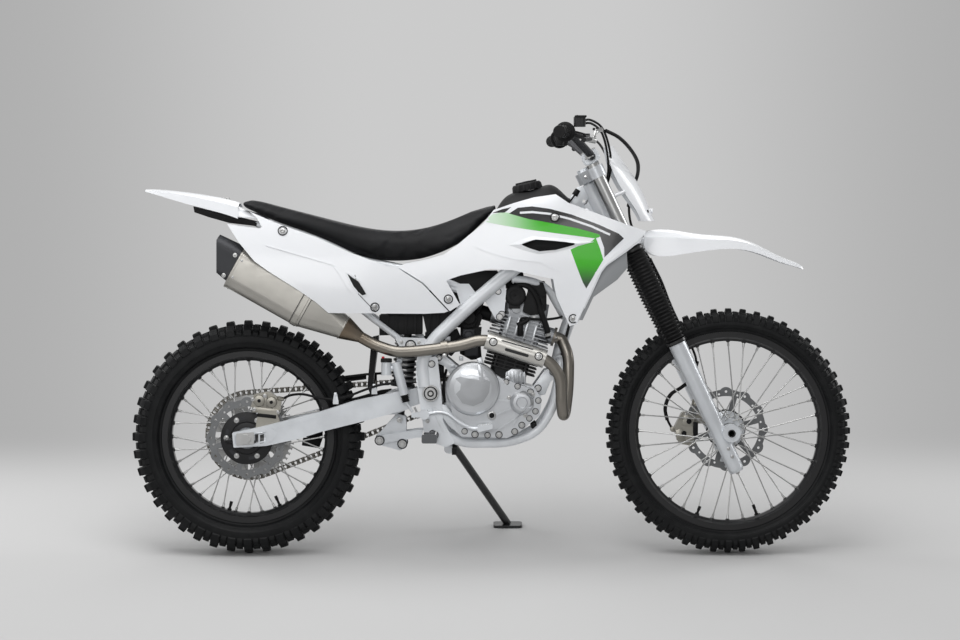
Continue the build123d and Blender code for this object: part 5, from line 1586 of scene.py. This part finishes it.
# Brakes
class Brakes:
    """The calipers' pistons, pins and bolts, and the sleeves over the front hose."""

    def make(self) -> None:
        """Makes the brakes' pieces."""
        (Shape().rod((36, -78, 436), (36, -87, 436), 17, 28, 15.5)
         .rod((70, -78, 432), (70, -87, 432), 16, 28, 14.5)
         .prism([(16, 404), (20, 420), (92, 412), (94, 398)], -86, -78, 1)
         .prism([(48, 412), (48, 458), (58, 458), (58, 412)], -84, -78, 0.5)
         .rod((88, -84, 444), (104, -76, 440), 6, 16)
         .finish("rear_caliper_body", "caliper_alloy", bevel=1.2))
        (Shape().rod((36, -86, 436), (36, -87.6, 436), 5, 20)
         .rod((70, -86, 432), (70, -87.6, 432), 5, 20)
         .prism([(30, 392), (32, 402), (84, 396), (84, 386)], -94.5, -78)
         .finish("rear_caliper_seals", "black_rubber", bevel=0.6))
        (Shape()
         .prism([(1214, 318), (1212, 346), (1232, 350), (1240, 316), (1226, 310)], 38, 42, 1)
         .prism([(1228, 358), (1236, 390), (1262, 384), (1262, 356)], 38, 42, 1)
         .rod((1206, 60, 346), (1206, 82, 346), 8, 20)
         .rod((1270, 30, 420), (1270, 42, 420), 7, 20, 5)
         .finish("front_caliper_body", "caliper_alloy", Body.STEERING, bevel=1))
        (Shape().rod((1236, 36.5, 336), (1236, 42, 336), 7.5, 24, 7)
         .rod((1250, 36.5, 370), (1250, 42, 370), 7.5, 24, 7)
         .block((1262, 40, 330), (1276, 48, 368))
         .finish("front_caliper_seals", "black_rubber", Body.STEERING, bevel=0.8))
        bolts = Fasteners("rear_caliper_bolts", Head.SOCKET)
        for x, z in ((22, 412), (88, 404), (52, 450), (18, 440)):
            bolts.add((x, -86, z), (0, -1, 0), 5.5)
        bolts.make()
        bolts = Fasteners("front_caliper_bolts", Head.SOCKET, Body.STEERING)
        for x, z in ((1220, 324), (1242, 390), (1262, 312), (1292, 374), (1276, 424)):
            bolts.add((x, 41, z), (0, -1, 0), 5)
            bolts.add((x, 87, z), (0, 1, 0), 5)
        bolts.make()
        (Shape()
         .tube([(1002, -192, 1188), (1040, -158, 1170), (1074, -104, 1140), (1098, -36, 1106),
             (1102, 34, 1072), (1090, 84, 1032), (1080, 106, 982)], 5.2, 14)
         .tube([(1142, 85, 828), (1172, 84, 768), (1196, 83, 706), (1226, 82, 642),
             (1258, 78, 588)], 5.2, 14)
         .tube([(1276, 71, 540), (1262, 64, 494), (1230, 62, 466), (1198, 64, 444),
             (1184, 68, 408), (1190, 71, 372)], 5.2, 14)
         .finish("hose_sleeves", "black_rubber", Body.STEERING))


# Frame and rear end
class Chassis:
    """Brackets, pivots, clips, springs and guards on the frame and its swingarm."""

    def frame(self) -> None:
        """Makes the frame's bolts, washers, plugs and weld beads."""
        bolts = Fasteners("frame_bolts")
        sockets = Fasteners("frame_screws", Head.SOCKET)
        for side in SIDES:
            surface = Surface("main_frame", side)
            bolts.on(surface, (461, 592, 12), (523, 344, 9), (520, 540, 8), (716, 678, 8),
                (706, 742, 7), (948, 996, 8))
            sockets.on(surface, (436, 601, 5), (484, 600, 5), (508, 380, 6))
            for x, out, z, radius in ((710, 90, 671, 8), (818, 59.5, 470, 8), (860, 59.5, 516, 8),
                    (540, 68.5, 556, 7)):
                bolts.add((x, side * out, z), (0, side, 0), radius)
            linkage = Surface("shock_linkage", side)
            bolts.on(linkage, (372, 322, 11), (436, 312, 11))
            sockets.on(linkage, (428, 380, 8))
        bolts.make()
        # Painted shade: a thin dark ring round each frame bolt.
        bolts.rings("frame_bolt_rings").make()
        sockets.make()
        washers = Shape()
        for side in SIDES:
            washers.lathe([(115.2, 5), (115.2, 16.5), (118.4, 15), (118.4, 9.5), (117, 9),
                (117, 5)], (517, 0, 458), (0, side, 0), 36)
            washers.lathe([(106.8, 16.4), (106.8, 23.5), (110, 22.5), (110, 16.4)], (517, 0, 458),
                (0, side, 0), 40)
        washers.finish("pivot_washers", "bright_steel")
        rubber = Shape()
        for side in SIDES:
            rubber.lathe([(110.2, 16.2), (110.2, 19.6), (112.2, 18.8), (112.2, 16.2)],
                (517, 0, 458), (0, side, 0), 36)
            rubber.lathe([(116.9, 5.4), (116.9, 8.9), (117.9, 8.9), (117.9, 5.4)], (517, 0, 458),
                (0, side, 0), 36)
            rubber.block((576, side * 68, 284), (590, side * 84, 303))
            rubber.rod((807, side * 62, 362), (807, side * 86, 364), 9, 24, 8)
        rubber.finish("frame_rubbers", "black_rubber", bevel=1)
        beads = Shape()
        for place, along, radius in (((500, 93, 566), (0.16, 0, -1), 17.6),
                ((640, 92, 716), (0.75, 0, 0.66), 17.6), ((868, 60, 889), (0.8, -0.4, 0.4), 17.6),
                ((884, 26, 555), (0.1, 0.3, -1), 16.2), ((748, 74, 775), (1, 0, 0), 10.6)):
            for side in SIDES:
                beads.lathe([(-2.2, radius - 1), (-1.2, radius + 0.8), (1.2, radius + 0.8),
                    (2.2, radius - 1)], (place[0], side * place[1], place[2]),
                    (along[0], side * along[1], along[2]), 32)
        beads.finish("frame_welds", "frame_paint")
        (Shape()
         .plates([(905, 968), (900, 990), (930, 1036), (956, 1040), (966, 1012), (930, 958)], 14,
             18)
         .plates([(545, 427), (560, 425), (590, 385), (622, 360), (622, 342), (598, 342),
             (566, 368), (540, 405)], 84, 100)
         .finish("frame_gussets", "frame_paint", bevel=2))

    def boxes(self) -> None:
        """Makes the battery box, its ribs and the harness behind the side covers."""
        shape = Shape()
        shape.plates([(372, 618), (372, 676), (492, 676), (492, 622)], 40, 58)
        for x in (392, 418, 444, 470):
            shape.plates([(x, 622), (x, 676), (x + 7, 676), (x + 7, 622)], 58, 61)
        for x in (512, 536, 560):
            shape.plates([(x, 634), (x, 706), (x + 6, 706), (x + 6, 634)], 60, 63)
        shape.finish("battery_box", "black_plastic", bevel=1)
        (Shape().tube([(500, -62, 612), (540, -66, 640), (586, -66, 668), (640, -78, 700)], 4.5)
         .tube([(440, -64, 596), (480, -66, 560), (512, -66, 540), (548, -62, 536)], 5)
         .tube([(480, -70, 588), (512, -74, 520), (520, -76, 470), (524, -76, 420)], 4)
         .tube([(440, 64, 596), (480, 66, 560), (512, 68, 540), (552, 66, 530)], 5)
         .finish("harness", "black_rubber"))
        rail = Shape()
        for side in SIDES:
            rail.tube([(574, side * 74, 752), (596, side * 78, 744), (634, side * 84, 728)], 8, 14)
        rail.finish("rail_braces", "frame_paint")
        (Shape()
         .prism([(-149, 981), (-146, 964), (-105, 950), (-48, 934), (20, 926), (44, 920),
             (20, 940), (-22, 950)], -66, 66)
         .finish("fender_bracket", "black_plastic", bevel=1.5))

    def swingarm(self) -> None:
        """Makes the arm's raised marks, adjusters, hose clips and rubbing pads."""
        for side, label in SIDES.items():
            arm = Surface("swingarm", side)
            arm.film(f"arm_arrow_{label}", [(56, 316), (60, 326), (66, 336), (62, 347), (56, 358),
                (68, 362), (90, 348), (74, 326)], lift=2.4, slot="satin_alloy")
            arm.film(f"arm_frame_{label}", band([(19, 314), (20, 346), (37, 347), (54, 349),
                (54, 317), (36, 315), (19, 313)], 3), lift=1.4, slot="satin_alloy", cell=5)
            # Painted shade: black patches stand for the shaded hollow behind the arm's end windows.
            for spot in (24, 40):
                arm.film(f"arm_window_{spot}_{label}", [(spot, 318), (spot, 342), (spot + 11, 344),
                    (spot + 11, 320)], lift=0.6, slot="black_paint")
            arm.film(f"arm_edge_{label}", band([(76, 358), (100, 364), (201, 391), (302, 420),
                (400, 445)], 2.2), lift=0.9, slot="satin_alloy")
        adjusters = Shape()
        for side in SIDES:
            adjusters.rod((-30, side * 97, 328), (-56, side * 97, 323), 4.2, 12)
            adjusters.rod((-41, side * 97, 326), (-48, side * 97, 324.6), 8, 6)
            adjusters.rod((-56, side * 97, 323), (-61, side * 97, 322), 7, 6)
        adjusters.finish("chain_adjusters", "black_alloy", bevel=0.5)
        clips = Shape()
        for x, low, high in ((252, 428, 461), (360, 456, 485)):
            clips.prism([(x - 8, low), (x - 8, low + 9), (x - 4, high), (x + 3, high),
                (x + 8, low + 9), (x + 8, low)], -114, -111, 0.6)
            clips.prism([(x - 4, high - 9), (x - 4, high), (x + 3, high), (x + 3, high - 9)], -126,
                -111)
        clips.finish("hose_clips", "frame_paint", bevel=0.6)
        (Shape().prism([(300, 424), (303, 437), (372, 458), (402, 462), (402, 448)], 54, 84)
         .prism([(150, 326), (150, 336), (205, 350), (205, 322), (186, 312)], 76, 84)
         .prism([(150, 322), (146, 300), (196, 292), (208, 326)], 57, 62)
         .finish("chain_pads", "black_rubber", bevel=1.5))
        spring = Shape()
        foot, top = Vector((428, 0, 380)), Vector((452, 0, 640))
        along, side, other = axes(top - foot)
        turns, start, end = 7.5, 100, 214.0
        line = [foot + along * (start + (end - start) * i / 150) +
            (side * cos(2 * pi * turns * i / 150) + other * sin(2 * pi * turns * i / 150)) * 30 for
            i in range(151)]
        spring.tube(line, 4.6, 10, 20)
        spring.finish("shock_spring", "bright_steel", sharp=60)

    def controls(self) -> None:
        """Makes the master cylinder's bellows, the springs, and the pegs' and pedal's teeth."""
        bellows = Shape()
        profile = [(0, 5)]
        for i in range(5):
            profile += [(i * 4.2 + 0.4, 9.2), (i * 4.2 + 2.1, 12.4), (i * 4.2 + 3.8, 9.2)]
        profile += [(21.4, 5)]
        bellows.lathe(profile, (444, -126, 455), (5, 0, -21), 28)
        bellows.finish("master_bellows", "black_rubber", sharp=70)
        cap = Shape()
        cap.rod((394, -126, 546), (394, -126, 557), 15.2, 32, 14.2)
        for i in range(24):
            angle = 2 * pi * i / 24
            cap.rod((394 + 15 * cos(angle), -126 + 15 * sin(angle), 547),
                (394 + 14.4 * cos(angle), -126 + 14.4 * sin(angle), 556), 1.2, 6)
        cap.finish("reservoir_cap", "black_plastic")
        (Shape().rod((385, -126, 556.5), (385, -126, 562), 4, 16)
         .finish("bleed_cap", "black_rubber", bevel=0.8, paint=Paints.of("red_cap",
             Plastic((0.55, 0.02, 0.03), 0.55))))
        (Shape()
         .tube([Vector((479 + i * 0.22, -118 + 5.0 * cos(i * 0.9),
             392 + 5.0 * sin(i * 0.9) + i * 0.1)) for i in range(70)], 1.1, 8, 20)
         .rod((472, -118, 420), (486, -118, 392), 3, 12).finish("pedal_spring", "bright_steel"))
        teeth = Fasteners("peg_teeth", Head.TOOTH)
        for side in SIDES:
            for i in range(9):
                for x in (497.5, 532.5):
                    teeth.add((x, side * (128 + i * 10.5), 350), (0, 0, 1), 2.6)
        for i in range(5):
            for y in (-158, -130):
                teeth.add((655 + i * 7, y, 371 + i * 0.8), (0, 0, 1), 2)
        teeth.make()
        tip = Shape()
        tip.lathe([(138, 7), (138, 10.4), (170, 10.4), (170, 7)], (744, 0, 380), (0, 1, 0), 24)
        for i in range(5):
            tip.lathe([(141 + i * 6, 9.8), (142 + i * 6, 11.6), (144 + i * 6, 11.6),
                (145 + i * 6, 9.8)], (744, 0, 380), (0, 1, 0), 24)
        tip.finish("shift_rubber", "black_rubber")

    def make(self) -> None:
        """Makes the chassis' pieces."""
        self.frame()
        self.boxes()
        self.swingarm()
        self.controls()


# Cockpit
@dataclass
class Cockpit:
    """What is fastened to the fork and the handlebar."""

    fork: Fork
    bar_end: Triple = (868, 400, 1178)
    bar_bend: Triple = (902, 196, 1184)

    def along_bar(self, reach: float, side: int) -> Vector:
        """Gives the point this far in from the handlebar's end."""
        end, bend = Vector(self.bar_end), Vector(self.bar_bend)
        point = end + (bend - end).normalized() * reach
        return Vector((point.x, side * point.y, point.z))

    def grips(self) -> None:
        """Makes the grips' ribs and flanges."""
        shape = Shape()
        for side in SIDES:
            run = self.along_bar(10, side) - self.along_bar(0, side)
            for i in range(16):
                shape.lathe([(0, 15), (0.6, 17.4), (3, 17.4), (3.6, 15)],
                    self.along_bar(6 + i * 6.6, side), run, 28)
            shape.lathe([(0, 15), (0, 26), (1.5, 27.6), (4, 27.6), (5, 20), (5, 15)],
                self.along_bar(113, side), run, 36)
            shape.rod(self.along_bar(-6.5, side), self.along_bar(2, side), 15.5, 28, 17.2)
        shape.finish("grip_ribs", "black_rubber", Body.STEERING, sharp=50)

    def cables(self) -> None:
        """Makes the throttle and clutch cables, their boots and the switch lead."""
        (Shape()
         .tube([(934, -246, 1212), (958, -226, 1216), (992, -180, 1196), (1014, -120, 1146),
             (1022, -66, 1090), (1014, -36, 1046), (1004, -24, 1010)], 3.2, 10)
         .tube([(934, -252, 1204), (960, -232, 1206), (990, -184, 1184), (1008, -124, 1134),
             (1014, -70, 1080), (1006, -44, 1036), (998, -34, 1006)], 3.2, 10)
         .tube([(930, 250, 1180), (958, 236, 1184), (994, 190, 1170), (1018, 128, 1126),
             (1024, 72, 1080), (1014, 44, 1036), (1006, 34, 1006)], 3.4, 10)
         .tube([(900, 240, 1170), (930, 190, 1150), (962, 120, 1122), (990, 60, 1080),
             (996, 20, 1040)], 2.6, 10)
         .rod((926, -244, 1208), (944, -240, 1214), 5, 14, 4)
         .rod((920, 250, 1178), (944, 246, 1182), 6, 14, 4)
         .finish("control_cables", "black_rubber", Body.STEERING))

    def clamps(self) -> None:
        """Makes the bolts, caps and rings of the fork clamps and the fork's foot."""
        fork = self.fork
        bolts = Fasteners("fork_bolts", body=Body.STEERING)
        screws = Fasteners("clamp_screws", Head.SOCKET, Body.STEERING)
        for side in SIDES:
            for height in (604, 622, 820):
                place = fork.point(fork.leg_lead - 30, side * (fork.half_span + 2), height)
                bolts.add(place, -fork.ahead, 7)
            top = fork.point(fork.leg_lead, side * fork.half_span, 863.6)
            bolts.add(top, fork.up, 14)
            for forward in (20, 52):
                for across in (31, 49):
                    place = fork.point(forward, side * across, 883)
                    screws.add(place, fork.up, 5.5)
            for height in (-60, -36):
                place = fork.point(fork.leg_lead + 4, side * (fork.half_span + 21.5), height)
                screws.add(place, (0, side, 0), 5)
            bolts.add(fork.point(fork.leg_lead, side * fork.half_span, -106), -fork.up, 8)
        for x, z in ((1296, 376), (1278, 420)):
            screws.add((x, 50, z), (0, 1, 0), 6)
        bolts.make()
        screws.make()
        rings = Shape()
        rings.lathe([(130.2, 7.6), (130.2, 10.6), (131.6, 10.6), (131.6, 7.6)],
            (WHEELBASE, 0, FRONT_RADIUS), (0, -1, 0), 36)
        for side in SIDES:
            rings.lathe([(586, 19.6), (586, 23), (590, 23), (590, 19.6)],
                fork.point(fork.leg_lead, side * fork.half_span, 0), fork.up, 32)
        rings.finish("fork_rings", "black_rubber", Body.STEERING)
        seals = Shape()
        for side in SIDES:
            axis = fork.point(fork.leg_lead, side * fork.half_span, 0)
            for height, radius in ((293, 28.6), (577, 30.6)):
                seals.lathe([(height, radius - 1), (height, radius + 1), (height + 7, radius + 1),
                    (height + 7, radius - 1)], axis, fork.up, 40)
        seals.finish("boot_clamps", "black_paint", Body.STEERING)
        guides = Shape()
        for place in ((1142, 85, 828), (1196, 83, 706), (1233, 81, 630)):
            guides.lathe([(-6, 3.4), (-6, 5.6), (6, 5.6), (6, 3.4)], place, (0.42, 0, -0.9), 20)
        guides.finish("hose_guides", "black_rubber", Body.STEERING)

    def controls(self) -> None:
        """Makes the perches, the master cylinder's lid and the switches."""
        (Shape().rod((930, -250, 1168), (972, -230, 1158), 9, 20, 7.5)
         .rod((964, -214, 1162), (976, -204, 1188), 6, 16)
         .rod((972, -206, 1188), (992, -196, 1190), 7, 6)
         .finish("brake_banjo", "bright_steel", Body.STEERING, bevel=0.8))
        (Shape().block((914, -276, 1222), (946, -226, 1227))
         .rod((893, 236, 1184), (893, 236, 1206), 9, 20, 8)
         .block((876, 226, 1160), (904, 246, 1194))
         .rod((890, -262, 1160), (886, -262, 1144), 7, 16, 6)
         .finish("switches", "black_plastic", Body.STEERING, bevel=1.5))
        screws = Fasteners("control_screws", Head.SOCKET, Body.STEERING)
        screws.add((920, -266, 1227), (0, 0, 1), 3.4)
        screws.add((940, -236, 1227), (0, 0, 1), 3.4)
        screws.make()
        plate = Fasteners("plate_screws", Head.SOCKET, Body.STEERING, slot="black_alloy")
        for side in SIDES:
            plate.on(Surface("number_plate", side), (1127, 967, 4.5))
        plate.make()

    def make(self) -> None:
        """Makes the cockpit's pieces."""
        self.grips()
        self.cables()
        self.clamps()
        self.controls()


# Bodywork
class Bodywork:
    """The panels' screws, seam lines, raised edges and plain coloured bands, with painted shade: a dark line along
    a seam and grey sheets behind the shrouds.
    """

    def graphics(self) -> None:
        """Lays bands of colour on both shrouds, with no lettering."""
        vivid = Paints.of("film_green", Fade((0.60, 0.74, 0.60), (0.045, 0.43, 0.008), 672, 840))
        black = Paints.of("film_black", Plastic((0.012, 0.012, 0.013), 0.75))
        lower = Paints.of("film_lower", Fade((0.05, 0.055, 0.055), (0.045, 0.43, 0.008), 752, 830,
            True))
        white = Paints.of("film_white", Plastic((0.785, 0.80, 0.825), 0.74))
        bands = (("sweep", [(664, 938), (690, 958), (716, 964), (778, 958), (850, 945), (930, 928),
            (985, 912), (1000, 900), (975, 891), (930, 897), (860, 906), (780, 917), (720, 927)],
            vivid, 0.35), ("patch", [(906, 860), (932, 872), (966, 884), (976, 893), (988, 862),
            (997, 832), (985, 812), (950, 752), (940, 770), (926, 806)], lower, 0.35),
            ("blade", [(736, 960), (760, 976), (800, 980), (850, 973), (910, 957), (985, 929),
            (1040, 904), (1054, 891), (1034, 872), (1012, 850), (1000, 838), (999, 866),
            (986, 902), (930, 918), (850, 934), (790, 945)], black, 0.5),
            ("pinstripe", band([(766, 962), (800, 964), (850, 959), (905, 945), (965, 924),
            (1016, 901)], 6), white, 0.65), ("wedge", [(690, 962), (716, 972), (742, 978),
            (724, 963)], black, 0.5),)
        for side, label in SIDES.items():
            panel = Surface(f"shroud_{label}", side)
            for name, outline, paint, lift in bands:
                panel.film(f"film_{name}_{label}", outline, paint, lift)

    @staticmethod
    def lip(shape: Shape, surface: Surface, outer: Outline, inner: Outline, rise: float) -> None:
        """Adds a raised lip between two outlines with as many corners, round an opening."""
        rings: list[list] = [[], [], []]
        for (ox, oz), (ix, iz) in zip(outer, inner):
            low = surface.touch(ox, oz)
            near = surface.touch(ix + 0.12 * (ox - ix), iz + 0.12 * (oz - iz)) or low
            if low is None:
                continue
            rings[0].append(shape.add(*(low[0] - low[1] * 0.3)))
            high = Vector((ix, near[0].y, iz)) + near[1] * rise
            rings[1].append(shape.add(*high))
            rings[2].append(shape.add(*(high - near[1] * (rise + 4))))
        shape.bridge(rings, capped=False)

    def panels(self) -> None:
        """Makes the panels' screws, seam lines, lips and grey inner sheets; the seam lines and the grey sheets are
        painted shade.
        """
        screws = Fasteners("panel_screws", Head.SOCKET)
        washers = Fasteners("panel_washers", Head.WASHER, slot="black_rubber")
        edges = Shape()
        inner = Shape()
        for side, label in SIDES.items():
            shroud = Surface(f"shroud_{label}", side)
            cover = Surface(f"side_cover_{label}", side)
            screws.on(shroud, (567, 722, 8), (914, 668, 8), (863, 949, 9), (724, 780, 5))
            screws.on(cover, (363, 700, 8), (107, 912, 9))
            washers.on(shroud, (567, 722, 13), (914, 668, 13), (863, 949, 14))
            washers.on(cover, (363, 700, 13), (107, 912, 14))
            self.lip(edges, shroud, [(731, 872), (765, 888), (800, 898), (890, 892), (984, 883),
                (925, 868), (866, 853), (816, 846), (772, 858)], [(768, 874), (786, 882),
                (810, 888), (868, 884), (928, 876), (896, 867), (866, 859), (820, 855),
                (794, 863)], 3.5)
            shroud.film(f"shroud_edge_{label}", band([(1106, 906), (1084, 884), (1050, 858),
                (1002, 822), (980, 794), (956, 738), (920, 660)], 11), lift=2.4, cell=7)
            shroud.film(f"shroud_crease_{label}", band([(640, 868), (700, 846), (760, 832),
                (820, 826), (872, 800)], 3), lift=1, cell=8)
            # Painted shade: a thin black strip along the gap at the side cover's seam.
            cover.film(f"cover_seam_{label}", band([(308, 790), (318, 736), (366, 686)], 1.8),
                lift=0.5, slot="black_rubber", cell=6)
            cover.film(f"cover_ridge_{label}", band([(60, 872), (150, 846), (248, 818),
                (296, 742)], 3), lift=1.4, cell=8)
            cover.film(f"cover_vent_{label}", [(287, 793), (300, 783), (318, 771), (330, 752),
                (339, 736), (328, 733), (318, 742), (305, 757), (296, 774)], lift=0.5,
                slot="black_plastic", cell=8)
            cover.film(f"vent_rim_{label}", band([(283, 797), (302, 787), (321, 774), (334, 753),
                (343, 734)], 3), lift=1.8, cell=6)
            cover.film(f"vent_ramp_{label}", band([(286, 790), (294, 772), (303, 756), (316, 741),
                (328, 731), (343, 734)], 2.4), lift=1.2, cell=6)
            # Painted shade: grey sheets behind the shrouds' front edges stand for white plastic lying in shade.
            inner.prism([(996, 806), (1030, 838), (1062, 856), (1065, 810), (1036, 776),
                (970, 728), (940, 664), (930, 664), (962, 740)], side * 148, side * 150.5)
        (Shape()
         .plates([(770, 850), (764, 882), (800, 902), (938, 890), (942, 872), (925, 852)], 103.5,
             105)
         .finish("vent_screens", "black_plastic", bevel=0.4))
        screws.add((-60, -60, 1003), (0.12, 0, 1), 6)
        screws.add((-60, 60, 1003), (0.12, 0, 1), 6)
        screws.make()
        washers.make()
        edges.finish("vent_lips", "white_plastic", sharp=25)
        # The grey sheets are a darker copy of white plastic: painted shade.
        inner.finish("inner_panels", "dark_alloy", bevel=0.8, paint=Paints.of("grey_panel",
            Plastic((0.28, 0.29, 0.30), 0.5)))

    def tank(self) -> None:
        """Makes the fuel cap's grip and the choke's knob."""
        tilt = Matrix.Translation((790, 0, 1026)) @ Matrix.Rotation(-atan2(0.22, 1), 4, "Y")
        cap = Shape(tilt)
        for i in range(14):
            angle = 2 * pi * i / 14
            cap.rod((39 * cos(angle), 39 * sin(angle), 1.5), (38 * cos(angle), 38 * sin(angle),
                17), 4.6, 10, 3.6)
        cap.block((-30, -7, 20), (30, 7, 26.5))
        cap.rod((0, 0, 20), (0, 0, 27), 12, 24, 11)
        cap.finish("cap_grip", "black_plastic", bevel=1)
        (Shape().rod((905, -36, 990), (924, -36, 1016), 2.6, 10)
         .rod((921, -36, 1012), (931, -36, 1028), 8.6, 20, 7.6)
         .finish("choke_knob", "black_rubber", bevel=0.8))

    def make(self) -> None:
        """Makes the bodywork's pieces."""
        self.graphics()
        self.panels()
        self.tank()


# CAD pieces that stay
def paint_cad() -> None:
    """Gives every CAD node its slot's material."""
    for part in frame["record"]["subparts"]:
        node = frame["nodes"][part["node"]]
        node.data.materials.clear()
        slot = {"front_disc": "disc_steel", "rear_disc": "disc_steel",
            "cylinder_head": "fin_alloy", "heat_shield": "shield_steel"}.get(part["node"],
            part["material_slot"])
        node.data.materials.append(Paints.of(slot))


# Studio
@dataclass
class Studio:
    """The pale floor and backdrop, the soft lamps and the camera."""

    distance: float = 8.0
    frame_width: float = 2.717
    rise: float = 10.7
    look_at: Triple = (655.0, 0.0, 660.0)
    reach: float = 60000.0
    floor_grey: float = 0.51
    floor_glow: float = 0.60
    wall_middle: float = 0.598
    wall_edge_shade: float = 0.43
    front_glow_shade: float = 0.38
    world: float = 0.38

    def backdrop(self) -> None:
        """Makes the floor, which turns into a smooth glowing backdrop behind the bike, with painted shade: paler
        in the middle, darker towards its sides and in front of the bike.
        """
        shape = Shape()
        shape.mesh.faces.new([shape.add(x, y, 0.0) for x, y in ((-self.reach, -self.reach),
            (self.reach, -self.reach), (self.reach, self.reach), (-self.reach, self.reach))])
        floor = shape.plain("studio_floor")
        floor.data.transform(Matrix.Scale(MM, 4))
        graph = Graph("studio_floor")
        across, depth, _ = graph.parts(graph.coordinates())
        away = depth.math("SQRT", across * across + depth * depth)
        spread = depth.math("DIVIDE", depth.math("ABSOLUTE", across), depth + self.distance)
        half_view = self.frame_width / 2 / self.distance
        # Painted shade: the glow darkens from the middle of the backdrop towards its sides, and further down also
        # in front of the bike.
        wall = graph.blend(spread.ramp(0.2 * half_view, 1.08 * half_view), (self.wall_middle,) * 3,
            (self.wall_edge_shade,) * 3)
        wall = graph.blend(spread.ramp(1.3 * half_view, 3.2 * half_view), wall,
            (self.wall_middle,) * 3)
        level = graph.blend(depth.ramp(0.2, 1.4), (self.floor_glow,) * 3, wall)
        level = graph.blend(depth.ramp(-1.3, -4.5), level, (self.front_glow_shade,) * 3)
        level = graph.blend(away.ramp(30.0, 55.0), level, (self.world,) * 3)
        path = graph.node("ShaderNodeLightPath").socket.node.outputs
        seen = (Signal(graph, path["Is Camera Ray"]) + Signal(graph, path["Is Glossy Ray"]) +
            Signal(graph, path["Is Transmission Ray"]))
        far = depth.math("MAXIMUM", depth.ramp(0.2, 1.25), away.ramp(1.5, 3.2))
        graph.feed(Base_Color=(self.floor_grey,) * 3, Roughness=0.9, Specular_IOR_Level=0.1)
        graph.glow(far * seen, level)
        floor.data.materials.append(graph.material)

    def lamp(self, name: str, place: Point, aim: Point, size: tuple[float, float],
            watts: float) -> None:
        """Adds a soft rectangular lamp."""
        light = bpy.data.lights.new(name, "AREA")
        light.shape, light.size, light.size_y, light.energy = "RECTANGLE", *size, watts
        linked(name, light).matrix_world = aimed(place, aim)

    def make(self) -> None:
        """Builds the studio."""
        self.backdrop()
        world = bpy.data.worlds.new("studio")
        world.use_nodes = True
        background = world.node_tree.nodes["Background"]
        background.inputs["Color"].default_value = (1.0, 1.0, 1.0, 1.0)
        background.inputs["Strength"].default_value = self.world
        bpy.context.scene.world = world
        self.lamp("overhead", (-0.7, -0.6, 3.6), (0.0, 0.0, 0.5), (4.0, 2.2), 102.0)
        self.lamp("camera_side", (-0.9, -4.6, 2.4), (0.0, 0.0, 0.6), (3.0, 1.6), 42.0)
        self.lamp("rear_quarter", (-3.4, 1.2, 1.9), (0.0, 0.0, 0.7), (1.2, 2.0), 40.0)
        self.lamp("far_side", (0.6, 4.4, 2.6), (0.0, 0.0, 0.6), (3.0, 1.6), 28.0)
        self.lamp("front_quarter", (3.6, 0.8, 1.9), (0.0, 0.0, 0.7), (1.2, 2.0), 40.0)
        view = bpy.data.cameras.new("view")
        view.sensor_width = 36.0
        view.lens = 36.0 * self.distance / self.frame_width
        camera = linked("view", view)
        target = stance.place(*self.look_at)
        angle = radians(self.rise)
        place = target + Vector((0, -cos(angle), sin(angle))) * self.distance
        camera.matrix_world = aimed(place, target)
        bpy.context.scene.camera = camera
        bpy.context.scene.view_settings.view_transform = "Standard"


def main() -> None:
    """Builds the finish, piece by piece."""
    logging.basicConfig(level=logging.INFO, format="%(name)s: %(message)s")
    Studio().make()
    paint_cad()
    front = Wheel("front", Body.FRONT_WHEEL, (WHEELBASE, 0, FRONT_RADIUS), FRONT_RADIUS, 84.0,
        281.0, 47.0, 52, 13.5, 18.5, (-71.0, -110.0))
    rear = Wheel("rear", Body.REAR_WHEEL, (0, 0, REAR_RADIUS), REAR_RADIUS, 106.0, 243.0, 60.0, 40,
        17.0, 24.0, (-66.0, -105.0))
    for part in (front, rear, Carriers(), Fork(), Chain(), Engine(), Exhaust(), Brakes(),
            Chassis(), Cockpit(Fork()), Cushion(), Bodywork()):
        part.make()


if __name__ == "__main__":
    main()
